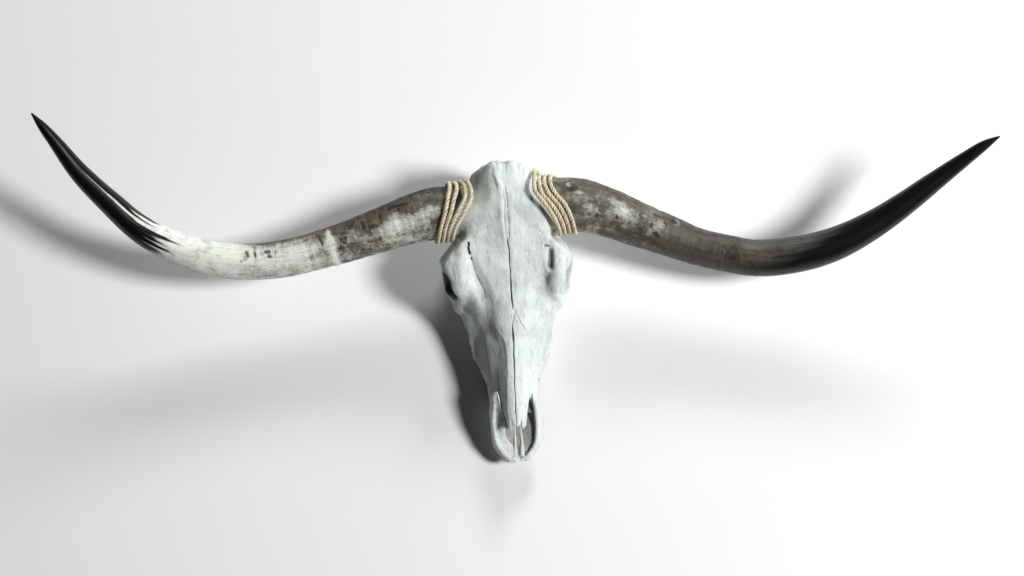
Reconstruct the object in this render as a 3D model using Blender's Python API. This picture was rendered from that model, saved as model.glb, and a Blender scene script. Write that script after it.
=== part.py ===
"""Longhorn steer skull without its lower jaw, resting on its cheek teeth, with a rope binding round each horn.

Metres, +Z up. The nose points to -Y. The animal's left side is +X. While the pieces are made, x = 0 is the
middle of the skull, y = 0 the back of the poll and z = 0 the floor. The empty then sets the whole thing
down with the middle of its box on the origin.

Bone has no flat faces or round shafts, so the skull is written as distance functions: each returns how far
a point lies outside a rod, ball or plate, and they are blended, hollowed and then turned into a mesh.
"""
import math

import bmesh
import bpy
import numpy as np
import openvdb
from mathutils import Vector

# driving dimensions
POLL_HEIGHT = 0.205          # top of the head above the floor
FACE_SLOPE = 0.2401          # fall of the face line towards the nose, tan 13.5 degrees
SUTURE_GAP = 0.0009          # between bones that meet
SEAM_POINT = (0.094, -0.078, 0.148)      # the bony core ends and the horn begins on a slanting plane here
SEAM_SLANT = (1.0, 0.34, 0.12)
SEAM_GAP = 0.0004
HORN_START = 0.066           # the horn is drawn from here out, and cut on that plane
ROPE_RADIUS = 0.0038
ROPE_CLEARANCE = 0.0016      # rope to faceted bone
ROPE_TURNS = 4
CRANIUM_CELL = 0.0036        # grid step of the big bones
SMALL_CELL = 0.0014          # grid step of the thin bones
SKULL_TRIANGLES = 3700       # before the cuts
NASAL_TRIANGLES = 210
PREMAXILLA_TRIANGLES = 350
FACE_SPLIT_Y = -0.262        # cut between cranium and upper jaw, at the floor
FACE_SPLIT_LEAN = 0.10       # how far that cut leans forward as it rises

# horns: distance out from the middle, place along the face line (0 at the poll, less towards the nose),
# height above the face plane, radius
HORN_LEFT = [(0.1316, -0.0873, -0.038, 0.0457), (0.1854, -0.1023, -0.043, 0.0435), (0.2384, -0.1255, -0.048, 0.0408),
             (0.2925, -0.1487, -0.051, 0.0368), (0.3455, -0.1721, -0.053, 0.0342), (0.3994, -0.1883, -0.053, 0.0339),
             (0.4529, -0.1995, -0.050, 0.0336), (0.5069, -0.1986, -0.045, 0.0333), (0.5603, -0.1916, -0.037, 0.0320),
             (0.6141, -0.1745, -0.027, 0.0288), (0.6669, -0.1486, -0.014, 0.0253), (0.7198, -0.1150, 0.001, 0.0216),
             (0.7717, -0.0789, 0.018, 0.0173), (0.8215, -0.0442, 0.037, 0.0125), (0.8543, -0.0224, 0.051, 0.0083),
             (0.8768, -0.0103, 0.062, 0.0014)]
HORN_RIGHT = [(0.1277, -0.0904, -0.038, 0.0453), (0.1703, -0.0973, -0.042, 0.0429), (0.2264, -0.1123, -0.047, 0.0397),
              (0.2825, -0.1284, -0.050, 0.0372), (0.3375, -0.1416, -0.052, 0.0351), (0.3934, -0.1528, -0.052, 0.0340),
              (0.4480, -0.1569, -0.050, 0.0335), (0.5010, -0.1529, -0.045, 0.0329), (0.5534, -0.1410, -0.037, 0.0314),
              (0.6049, -0.1191, -0.026, 0.0284), (0.6545, -0.0875, -0.012, 0.0248), (0.7017, -0.0384, 0.006, 0.0215),
              (0.7478, 0.0150, 0.026, 0.0175), (0.7874, 0.0771, 0.050, 0.0111), (0.8018, 0.0988, 0.059, 0.0080),
              (0.8171, 0.1214, 0.068, 0.0014)]
HORN_POINTS = 36

# rope: how far out from the middle each turn lies, at these angles round the horn (0 front, 90 poll, 180 under,
# -90 nose side)
ROPE_ANGLES = (-90, -42, -14, 11, 38, 85, 122, 180)
ROPE_LEFT = [(0.0995, 0.0905, 0.0761, 0.0580, 0.0582, 0.0634, 0.0770, 0.1050),
             (0.1080, 0.0998, 0.0868, 0.0703, 0.0667, 0.0722, 0.0860, 0.1140),
             (0.1170, 0.1092, 0.0978, 0.0820, 0.0757, 0.0830, 0.0955, 0.1230),
             (0.1262, 0.1195, 0.1095, 0.0931, 0.0858, 0.0940, 0.1060, 0.1325)]
ROPE_RIGHT = [(0.0960, 0.0858, 0.0695, 0.0564, 0.0582, 0.0740, 0.0830, 0.1045),
              (0.1042, 0.0950, 0.0815, 0.0687, 0.0668, 0.0823, 0.0918, 0.1135),
              (0.1125, 0.1040, 0.0938, 0.0880, 0.0820, 0.0906, 0.1006, 0.1225),
              (0.1215, 0.1130, 0.1044, 0.0995, 0.0950, 0.0994, 0.1095, 0.1320)]
ROPE_STEPS_A_TURN = 15

# cheek teeth: place along the skull, length, half width
TEETH = [(-0.398, 0.018, 0.0085), (-0.379, 0.019, 0.0095), (-0.359, 0.020, 0.0105),
         (-0.335, 0.027, 0.0120), (-0.307, 0.028, 0.0130), (-0.278, 0.029, 0.0130)]
TOOTH_ROW = [(-0.40, 0.0340), (-0.36, 0.0410), (-0.33, 0.0480), (-0.27, 0.0535)]

BONE = (0.78, 0.79, 0.77)
HORN_BROWN = (0.33, 0.29, 0.24)
ROPE_STRAW = (0.66, 0.56, 0.38)


# ---------------------------------------------------------------- distance functions

def smooth_max(a, b, k):
    """The larger of two distances, with the corner rounded over a width k."""
    blend = np.maximum(k - np.abs(a - b), 0.0)
    return np.maximum(a, b) + blend * blend / (4 * k)


def join(a, b, k):
    return -smooth_max(-a, -b, k)


def hollow(body, tool, k):
    return smooth_max(body, -tool, k)


def curve(at, stations):
    """Smooth value at `at` through (place, value) stations."""
    table = np.array(sorted(stations), np.float32)
    place, value = table[:, 0], table[:, 1]
    slope = np.gradient(value, place)
    i = np.clip(np.searchsorted(place, at) - 1, 0, len(place) - 2)
    span = place[i + 1] - place[i]
    u = np.clip((at - place[i]) / span, 0, 1)
    return ((1 + 2 * u) * (1 - u) ** 2 * value[i] + u * (1 - u) ** 2 * span * slope[i]
            + u * u * (3 - 2 * u) * value[i + 1] + u * u * (u - 1) * span * slope[i + 1])


def ball(p, centre, radii):
    d = [p[i] - centre[i] for i in range(3)]
    a = sum((d[i] / radii[i]) ** 2 for i in range(3)) ** 0.5
    b = sum((d[i] / radii[i] ** 2) ** 2 for i in range(3)) ** 0.5
    return a * (a - 1) / np.maximum(b, 1e-6)


def bar(p, a, b, ra, rb, squeeze=(1, 1, 1)):
    """Tapered rod from a to b. A squeeze under 1 along an axis makes it larger that way."""
    q = [(p[i] - a[i]) * squeeze[i] for i in range(3)]
    ab = [(b[i] - a[i]) * squeeze[i] for i in range(3)]
    t = np.clip(sum(q[i] * ab[i] for i in range(3)) / sum(c * c for c in ab), 0, 1)
    return sum((q[i] - t * ab[i]) ** 2 for i in range(3)) ** 0.5 - (ra + t * (rb - ra))


def limb(p, stations, k=0.004, squeeze=(1, 1, 1)):
    """A bent tapered rod through (x, y, z, radius) stations."""
    out = None
    for a, b in zip(stations, stations[1:]):
        piece = bar(p, a[:3], b[:3], a[3], b[3], squeeze)
        out = piece if out is None else join(out, piece, k)
    return out


def block(p, centre, half, edge):
    q = [np.abs(p[i] - centre[i]) - (half[i] - edge) for i in range(3)]
    outside = sum(np.maximum(c, 0) ** 2 for c in q) ** 0.5
    return outside + np.minimum(np.maximum(np.maximum(q[0], q[1]), q[2]), 0) - edge


def ring(p, centre, normal, radius, thick):
    length = sum(c * c for c in normal) ** 0.5
    d = [p[i] - centre[i] for i in range(3)]
    along = sum(normal[i] * d[i] for i in range(3)) / length
    across = np.sqrt(np.maximum(sum(c * c for c in d) - along * along, 0))
    return ((across - radius) ** 2 + along * along) ** 0.5 - thick


def slope_side(x, z, x0, z0, x1, z1):
    """Distance outside a sloping side wall from (x0, z0) above to (x1, z1) below."""
    dx, dz = x1 - x0, z1 - z0
    return ((x - x0) * -dz + (z - z0) * dx) / np.sqrt(dx * dx + dz * dz)


def ribbon(p, stations):
    """A plate along y through (y, xa, za, xb, zb, radius): in each section a thick line from a to b."""
    x, y, z = p
    xa, za, xb, zb, r = [curve(y, [(s[0], s[i]) for s in stations]) for i in range(1, 6)]
    dx, dz = xb - xa, zb - za
    t = np.clip(((x - xa) * dx + (z - za) * dz) / (dx * dx + dz * dz), 0, 1)
    d = np.sqrt((x - xa - t * dx) ** 2 + (z - za - t * dz) ** 2) - r
    ends = sorted((stations[0][0], stations[-1][0]))
    return smooth_max(smooth_max(d, ends[0] - y, 0.004), y - ends[1], 0.004)


# ---------------------------------------------------------------- the skull, right half (x is never negative)

def face_line(y):
    """Height of the ridge line of the forehead and nose."""
    return POLL_HEIGHT + FACE_SLOPE * y + curve(y, [
        (-0.53, -0.003), (-0.47, 0.0), (-0.38, 0.002), (-0.33, -0.001), (-0.28, -0.002), (-0.22, 0.003),
        (-0.17, 0.005), (-0.12, 0.004), (-0.06, 0.003), (0.0, -0.002), (0.03, -0.008)])


def nose_arch(y):
    """How strongly the bridge of the nose is arched: the drop from its ridge is this times x squared."""
    return curve(y, [(-0.47, 15.0), (-0.40, 16.0), (-0.36, 17.0), (-0.32, 16.0), (-0.29, 13.0), (-0.26, 8.0),
                     (-0.22, 3.4), (-0.19, 1.8)])


def upper_jaw(p):
    x, y, z = p
    roof_half = curve(y, [(-0.47, 0.018), (-0.43, 0.021), (-0.38, 0.024), (-0.33, 0.029), (-0.29, 0.034),
                          (-0.25, 0.047), (-0.21, 0.070), (-0.17, 0.078)])
    cheek_half = curve(y, [(-0.47, 0.0455), (-0.43, 0.0470), (-0.39, 0.0490), (-0.366, 0.0545), (-0.350, 0.0620),
                           (-0.333, 0.0715), (-0.315, 0.0775), (-0.285, 0.0795), (-0.25, 0.082), (-0.21, 0.084)])
    cheek_z = curve(y, [(-0.47, 0.052), (-0.40, 0.058), (-0.35, 0.062), (-0.30, 0.070), (-0.25, 0.086),
                        (-0.20, 0.100)])
    gum_half = curve(y, [(-0.47, 0.034), (-0.43, 0.036), (-0.40, 0.040), (-0.36, 0.050), (-0.30, 0.060),
                         (-0.26, 0.062), (-0.22, 0.055)])
    gum_z = curve(y, [(-0.47, 0.036), (-0.41, 0.032), (-0.36, 0.024), (-0.28, 0.022), (-0.24, 0.026),
                      (-0.20, 0.05)])
    roof = z - face_line(y) + nose_arch(y) * x ** 2
    jaw = smooth_max(roof, slope_side(x, z, roof_half, face_line(y) - 0.002, cheek_half, cheek_z), 0.016)
    jaw = smooth_max(jaw, slope_side(x, z, cheek_half, cheek_z, gum_half, gum_z), 0.010)
    jaw = smooth_max(jaw, gum_z - z, 0.008)
    slanting_front = (-0.404 - y) * 0.80 + (z - 0.094) * 0.60
    jaw = smooth_max(jaw, slanting_front, 0.004)
    jaw = smooth_max(jaw, -0.438 - y, 0.004)
    return smooth_max(jaw, y + 0.235, 0.02)


def forehead(p):
    x, y, z = p
    half = curve(y, [(0.01, 0.056), (-0.005, 0.058), (-0.02, 0.059), (-0.045, 0.0595), (-0.08, 0.062),
                     (-0.11, 0.069), (-0.135, 0.085), (-0.155, 0.103), (-0.175, 0.108), (-0.20, 0.101),
                     (-0.23, 0.079), (-0.26, 0.060), (-0.29, 0.040), (-0.31, 0.030)])
    bulge = curve(y, [(-0.31, 15.0), (-0.28, 11.0), (-0.25, 6.0), (-0.20, 1.8), (-0.10, 1.3), (-0.05, 3.0), (0.0, 4.5)])
    plate = smooth_max(z - face_line(y) + bulge * x ** 2, x - half, 0.018)
    plate = smooth_max(plate, face_line(y) - 0.052 - z, 0.02)
    plate = smooth_max(plate, -0.300 - y, 0.012)
    poll_back = y * 0.96 - (z - POLL_HEIGHT) * 0.28 - 0.004
    return smooth_max(plate, poll_back, 0.022)


def back_of_head(p):
    x, y, z = p
    half = curve(z, [(0.03, 0.050), (0.07, 0.070), (0.10, 0.076), (0.13, 0.066), (0.17, 0.046), (0.21, 0.034)])
    nape = smooth_max(x - half + 0.55 * (y + 0.035), y - 0.004, 0.015)
    nape = smooth_max(nape, -0.050 - y, 0.02)
    nape = smooth_max(nape, 0.060 - z, 0.02)
    nape = smooth_max(nape, z - 0.190, 0.02)
    brain = ball(p, (0, -0.085, 0.120), (0.056, 0.105, 0.062))
    base = limb(p, [(0, -0.005, 0.070, 0.018), (0, -0.06, 0.072, 0.018), (0, -0.13, 0.086, 0.016),
                    (0, -0.20, 0.100, 0.014)], squeeze=(0.75, 1, 1))
    return join(join(nape, brain, 0.016), base, 0.012)


ORBIT_CENTRE = (0.0985, -0.198, 0.117)
ORBIT_NORMAL = (0.905, -0.36, 0.225)


def eye_socket(p):
    reach = sum(c * c for c in ORBIT_NORMAL) ** 0.5
    deep = tuple(ORBIT_CENTRE[i] - 0.046 * ORBIT_NORMAL[i] / reach for i in range(3))
    out = tuple(ORBIT_CENTRE[i] + 0.030 * ORBIT_NORMAL[i] / reach for i in range(3))
    return bar(p, deep, out, 0.022, 0.036)


def cheek_arch(p):
    arch = limb(p, [(0.064, -0.285, 0.074, 0.012), (0.072, -0.257, 0.080, 0.012), (0.088, -0.235, 0.081, 0.012),
                    (0.104, -0.205, 0.076, 0.009), (0.107, -0.165, 0.074, 0.008), (0.099, -0.130, 0.074, 0.008),
                    (0.081, -0.090, 0.075, 0.008),
                    (0.066, -0.048, 0.075, 0.010)], k=0.01, squeeze=(1, 1, 0.75))
    tuber = limb(p, [(0.064, -0.327, 0.056, 0.009), (0.071, -0.300, 0.064, 0.007), (0.072, -0.268, 0.074, 0.006)])
    return join(arch, tuber, 0.010)


def teeth(p):
    out = None
    for y, length, half in TEETH:
        x = float(curve(y, TOOTH_ROW))
        tooth = block(p, (x, y, 0.022), (half, length / 2 - 0.0006, 0.026), 0.004)
        out = tooth if out is None else np.minimum(out, tooth)
    return out


def beyond_seam(p):
    """How far a point lies out from the plane between core and horn."""
    return sum(SEAM_SLANT[i] * (p[i] - SEAM_POINT[i]) for i in range(3)) / sum(c * c for c in SEAM_SLANT) ** 0.5


def skull(p):
    body = join(upper_jaw(p), forehead(p), 0.014)
    body = join(body, back_of_head(p), 0.018)
    temple = limb(p, [(0.092, -0.130, 0.112, 0.020), (0.084, -0.085, 0.108, 0.017), (0.080, -0.045, 0.118, 0.009)],
                  k=0.01, squeeze=(1, 1, 0.72))
    body = hollow(body, temple, 0.008)
    core = limb(p, [(0.02, -0.072, 0.150, 0.040), (0.07, -0.078, 0.148, 0.0430), (0.20, -0.078, 0.148, 0.0436)])
    core = smooth_max(core, beyond_seam(p) - 0.004, 0.002)
    body = join(body, core, 0.018)
    # eye: ring, roof and the bar behind it
    body = join(body, ring(p, ORBIT_CENTRE, ORBIT_NORMAL, 0.0355, 0.0085), 0.012)
    body = join(body, ball(p, (0.092, -0.180, 0.143), (0.023, 0.041, 0.016)), 0.014)
    body = join(body, limb(p, [(0.093, -0.148, 0.142, 0.011), (0.109, -0.159, 0.124, 0.009),
                               (0.108, -0.155, 0.082, 0.008)]), 0.010)
    body = join(body, cheek_arch(p), 0.012)
    body = hollow(body, eye_socket(p), 0.006)
    body = hollow(body, ball(p, (0.070, -0.165, 0.090), (0.024, 0.042, 0.026)), 0.008)
    # underside: passage behind the palate, palate, and the gap behind the last tooth
    body = hollow(body, limb(p, [(0, -0.265, 0.056, 0.020), (0, -0.215, 0.062, 0.024), (0, -0.15, 0.060, 0.020)],
                             squeeze=(1, 1, 0.8)), 0.006)
    body = hollow(body, limb(p, [(0, -0.47, 0.006, 0.024), (0, -0.40, 0.004, 0.026), (0, -0.33, 0.0, 0.034),
                                 (0, -0.27, -0.002, 0.034)], squeeze=(0.85, 1, 1)), 0.008)
    body = hollow(body, ball(p, (0.062, -0.205, 0.050), (0.024, 0.052, 0.036)), 0.008)
    # back of the base: condyles, hooked processes that reach the floor, ear
    body = join(body, ball(p, (0.029, 0.004, 0.056), (0.017, 0.022, 0.021)), 0.006)
    body = join(body, limb(p, [(0.058, -0.020, 0.078, 0.014), (0.061, -0.026, 0.045, 0.0095),
                               (0.057, -0.032, 0.000, 0.0085)], squeeze=(1, 0.85, 1)), 0.008)
    body = join(body, ball(p, (0.042, -0.055, 0.062), (0.012, 0.020, 0.016)), 0.006)
    body = join(body, bar(p, (0.05, -0.058, 0.080), (0.080, -0.050, 0.088), 0.010, 0.009), 0.006)
    body = hollow(body, bar(p, (0, -0.05, 0.088), (0, 0.05, 0.076), 0.016, 0.018), 0.004)
    # nose opening
    body = hollow(body, limb(p, [(0, -0.52, 0.070, 0.042), (0, -0.44, 0.067, 0.034), (0, -0.39, 0.072, 0.024),
                                 (0, -0.355, 0.076, 0.015)], squeeze=(1.05, 1, 0.95)), 0.003)
    body = join(body, teeth(p), 0.003)
    wing = ribbon(p, [(-0.262, 0.030, 0.045, 0.030, 0.080, 0.0040), (-0.235, 0.029, 0.040, 0.030, 0.085, 0.0035),
                      (-0.205, 0.027, 0.044, 0.030, 0.090, 0.0035), (-0.175, 0.022, 0.066, 0.028, 0.095, 0.0035)])
    return join(body, wing, 0.006)


# ---------------------------------------------------------------- nose bones

def nasal(p):
    """The left nasal bone: a long narrow roof tile, pointed behind and forked in front."""
    x, y, z = p
    top = z - (face_line(y) + 0.001) + nose_arch(y) * x ** 2
    half = curve(y, [(-0.270, 0.0015), (-0.290, 0.006), (-0.312, 0.013), (-0.335, 0.022), (-0.36, 0.0265),
                     (-0.40, 0.0260), (-0.44, 0.0220), (-0.462, 0.0190)])
    slab = smooth_max(top, x - half, 0.010)
    slab = smooth_max(slab, -(top + 0.0055 + 5.0 * x ** 2), 0.002)
    slab = smooth_max(slab, 0.0005 - x, 0.001)
    slab = smooth_max(slab, -0.4665 - y, 0.003)
    slab = smooth_max(slab, y + 0.276, 0.003)
    fork = limb(p, [(0.0095, -0.475, 0.092, 0.0028), (0.0100, -0.450, 0.096, 0.001)], squeeze=(1, 1, 0.1))
    return hollow(slab, fork, 0.001)


def premaxilla_wall(p):
    """The slanting side of the front jaw bone, from beside the nasal bone down to its tip."""
    return ribbon(p, [(-0.402, 0.0310, 0.092, 0.0440, 0.060, 0.0024), (-0.430, 0.0375, 0.077, 0.0435, 0.051, 0.0028),
                      (-0.456, 0.0390, 0.063, 0.0420, 0.045, 0.0032), (-0.477, 0.0375, 0.053, 0.0402, 0.041, 0.0035),
                      (-0.490, 0.0350, 0.048, 0.0385, 0.038, 0.0038), (-0.500, 0.0290, 0.044, 0.0330, 0.036, 0.0042),
                      (-0.509, 0.0210, 0.041, 0.0262, 0.035, 0.0044), (-0.519, 0.0052, 0.038, 0.0160, 0.035, 0.0044)])


def palate_strip(p, x_back, x_front):
    return ribbon(p, [(-0.455, x_back - 0.0010, 0.048, x_back + 0.0010, 0.050, 0.0016),
                      (-0.490, x_front - 0.0012, 0.042, x_front + 0.0012, 0.043, 0.0020),
                      (-0.513, x_front - 0.0015, 0.038, x_front + 0.0015, 0.038, 0.0026)])


def premaxilla_left(p):
    return join(premaxilla_wall(p), palate_strip(p, 0.0060, 0.0075), 0.004)


def premaxilla_right(p):
    """Drawn on +x like its twin, and mirrored afterwards; its floor plate is wider."""
    floor = ribbon(p, [(-0.404, 0.0385, 0.080, 0.0330, 0.088, 0.0018), (-0.430, 0.0400, 0.070, 0.0272, 0.080, 0.0020),
                       (-0.456, 0.0390, 0.060, 0.0240, 0.066, 0.0026), (-0.480, 0.0360, 0.048, 0.0200, 0.048, 0.0030),
                       (-0.492, 0.0320, 0.042, 0.0110, 0.039, 0.0036), (-0.508, 0.0230, 0.038, 0.0060, 0.036, 0.0038),
                       (-0.519, 0.0120, 0.037, 0.0050, 0.036, 0.0038)])
    body = join(premaxilla_wall(p), floor, 0.006)
    return join(body, palate_strip(p, 0.0040, 0.0050), 0.004)


# ---------------------------------------------------------------- meshes

def dent(p):
    """How much further in the rim of the right eye stands than that of the left one."""
    x, y, z = p
    outside = np.clip((eye_socket(p) - 0.003) / 0.006, 0, 1)
    return 0.0060 * outside * np.exp(-((y + 0.172) / 0.050) ** 2 - ((z - 0.115) / 0.060) ** 2) * np.clip((x - 0.080) / 0.020, 0, 1)


def surface(name, distance, low, high, cell, mirror=False, flip=False):
    """A closed mesh where the distance function is nought, from a grid of its values between two corners."""
    counts = [int(math.ceil((high[i] - low[i]) / cell)) + 1 for i in range(3)]
    axes = [low[i] + cell * np.arange(counts[i], dtype=np.float32) for i in range(3)]
    grid = np.meshgrid(*axes, indexing="ij", sparse=True)
    values = np.broadcast_to(distance(grid).astype(np.float32), counts).copy()
    start = low[0]
    if mirror:
        values = np.concatenate([(values + dent(grid).astype(np.float32))[:0:-1], values])
        start = -axes[0][-1]
    volume = openvdb.FloatGrid(3 * cell)
    volume.copyFromArray(np.clip(values, -3 * cell, 3 * cell))
    points, quads = volume.convertToQuads(0.0)
    points = np.array(points) * cell + np.array([start, low[1], low[2]])
    quads = np.array(quads)
    if flip:
        points[:, 0] *= -1
        quads = quads[:, ::-1]
    mesh = bpy.data.meshes.new(name)
    mesh.from_pydata(points.tolist(), [], quads.tolist())
    mesh.validate()
    return mesh


def thin_out(mesh, triangles):
    """The same surface with fewer triangles."""
    holder = bpy.data.objects.new("thinning", mesh)
    bpy.context.scene.collection.objects.link(holder)
    reduce = holder.modifiers.new("reduce", "DECIMATE")
    reduce.ratio = triangles / (2 * len(mesh.polygons))
    reduce.use_collapse_triangulate = True
    bpy.context.view_layer.update()
    result = bpy.data.meshes.new_from_object(holder.evaluated_get(bpy.context.evaluated_depsgraph_get()))
    bpy.data.objects.remove(holder)
    return result


def cut(mesh, point, normal):
    """Take away what lies beyond the plane on its normal's side, and close the cut."""
    work = bmesh.new()
    work.from_mesh(mesh)
    bmesh.ops.remove_doubles(work, verts=work.verts, dist=1e-6)
    every = work.verts[:] + work.edges[:] + work.faces[:]
    made = bmesh.ops.bisect_plane(work, geom=every, plane_co=point, plane_no=normal, dist=1e-6, clear_outer=True)
    rim = [e for e in made["geom_cut"] if isinstance(e, bmesh.types.BMEdge)]
    bmesh.ops.edgenet_fill(work, edges=rim)
    bmesh.ops.triangulate(work, faces=[f for f in work.faces if len(f.verts) > 3])
    bmesh.ops.recalc_face_normals(work, faces=work.faces)
    result = bpy.data.meshes.new(mesh.name)
    work.to_mesh(result)
    work.free()
    return result


def material(name, colour, roughness):
    made = bpy.data.materials.new(name)
    made.use_nodes = True
    shader = made.node_tree.nodes["Principled BSDF"]
    shader.inputs["Base Color"].default_value = (*colour, 1)
    shader.inputs["Roughness"].default_value = roughness
    return made


def put(name, data, collection, base, finish):
    piece = bpy.data.objects.new(name, data)
    collection.objects.link(piece)
    piece.parent = base
    data.materials.append(finish)
    return piece


def subtract(piece, other, cutters):
    """Cut a neighbour's shape, grown by the gap between bones, out of a piece."""
    cutter = bpy.data.objects.new("cutter_" + other.name, other.data.copy())
    cutters.objects.link(cutter)
    cutter.parent = other.parent
    grow = cutter.modifiers.new("grow", "DISPLACE")
    grow.strength = SUTURE_GAP
    grow.mid_level = 0
    cutter.hide_render = True
    cutter.display_type = "WIRE"
    boolean = piece.modifiers.new("seat_" + other.name, "BOOLEAN")
    boolean.operation = "DIFFERENCE"
    boolean.object = cutter
    boolean.solver = "MANIFOLD"


# ---------------------------------------------------------------- horns and ropes

def from_face(out, along, above, side):
    """A point from its distance out, its place along the face line and its height above the face plane."""
    tilt = math.atan(FACE_SLOPE)
    y = along * math.cos(tilt) - above * math.sin(tilt)
    z = POLL_HEIGHT + along * math.sin(tilt) + above * math.cos(tilt)
    return Vector((side * out, y, z))


def seam_plane(side):
    """A point on the plane between core and horn, and its outward normal."""
    normal = Vector((side * SEAM_SLANT[0], SEAM_SLANT[1], SEAM_SLANT[2])).normalized()
    return Vector((side * SEAM_POINT[0], SEAM_POINT[1], SEAM_POINT[2])), normal


def horn_line(stations, side):
    """Points and radii down the middle of a horn."""
    placed = [(*from_face(out, along, above, side), radius) for out, along, above, radius in stations]
    start = (side * HORN_START, placed[0][1] + 0.0015, placed[0][2] + 0.0008, placed[0][3])
    placed = [start, (side * (SEAM_POINT[0] + 0.018), *start[1:])] + placed
    table = np.array(placed)
    steps = np.linalg.norm(np.diff(table[:, :3], axis=0), axis=1)
    length = np.concatenate([[0], np.cumsum(steps)])
    ends = [0.0, length[1]]
    at = np.concatenate([ends, np.linspace(length[1], length[-1], HORN_POINTS)[1:]])
    return np.stack([curve(at, list(zip(length, table[:, i]))) for i in range(4)], axis=1)


def tube(name, points, radii, sides_setting):
    """A curve with a round section of given radii and filled ends."""
    data = bpy.data.curves.new(name, "CURVE")
    data.dimensions = "3D"
    data.bevel_depth = float(max(radii))
    data.bevel_resolution = sides_setting
    data.use_fill_caps = True
    spline = data.splines.new("POLY")
    spline.points.add(len(points) - 1)
    for place, point, radius in zip(spline.points, points, radii):
        place.co = (*point, 1)
        place.radius = float(radius / max(radii))
    return data


def as_mesh(curve_data):
    """The mesh of a curve."""
    holder = bpy.data.objects.new("holder", curve_data)
    bpy.context.scene.collection.objects.link(holder)
    bpy.context.view_layer.update()
    result = bpy.data.meshes.new_from_object(holder.evaluated_get(bpy.context.evaluated_depsgraph_get()))
    bpy.data.objects.remove(holder)
    return result


def rope_out(degrees, turns):
    """How far out the rope lies, by the angle it has wound. It begins under the horn."""
    first = turns[0][0] - 0.004
    stations = [(-180, first)] + [(360 * i + angle, out) for i, turn in enumerate(turns)
                                  for angle, out in zip(ROPE_ANGLES, turn)]
    return curve(degrees, stations)


def rope_line(turns, horn, side):
    """Points of a rope wound round a horn's base, lying on the bone and the horn under it."""
    count = ROPE_TURNS * ROPE_STEPS_A_TURN
    turn = np.linspace(-0.47, ROPE_TURNS - 0.53, count)
    angle = turn * 2 * math.pi
    out = rope_out(turn * 360, turns)
    axis_y = np.interp(out, side * horn[:, 0], horn[:, 1])
    axis_z = np.interp(out, side * horn[:, 0], horn[:, 2])
    reach = np.arange(0.034, 0.075, 0.0005)[None, :]
    y = axis_y[:, None] + reach * np.sin(angle)[:, None]
    z = axis_z[:, None] + reach * np.cos(angle)[:, None]
    x = np.broadcast_to(out[:, None], y.shape)
    horn_radius = np.interp(out, side * horn[:, 0], horn[:, 3])[:, None]
    on_horn = beyond_seam((x, y, z)) > -0.010
    clear = np.minimum(np.where(on_horn, reach - horn_radius, 1), skull((x, y, z)))
    free = clear > ROPE_RADIUS + ROPE_CLEARANCE
    need = reach[0][np.argmax(free, axis=1)]
    window = ROPE_STEPS_A_TURN // 5
    padded = np.pad(need, 2 * window, mode="edge")
    spread = np.array([padded[i:i + 2 * window + 1].max() for i in range(len(padded) - 2 * window)])
    radius = np.convolve(spread, np.ones(2 * window + 1) / (2 * window + 1), mode="valid")
    return np.stack([side * out, axis_y + radius * np.sin(angle), axis_z + radius * np.cos(angle)], axis=1)


# ---------------------------------------------------------------- assembly

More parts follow.
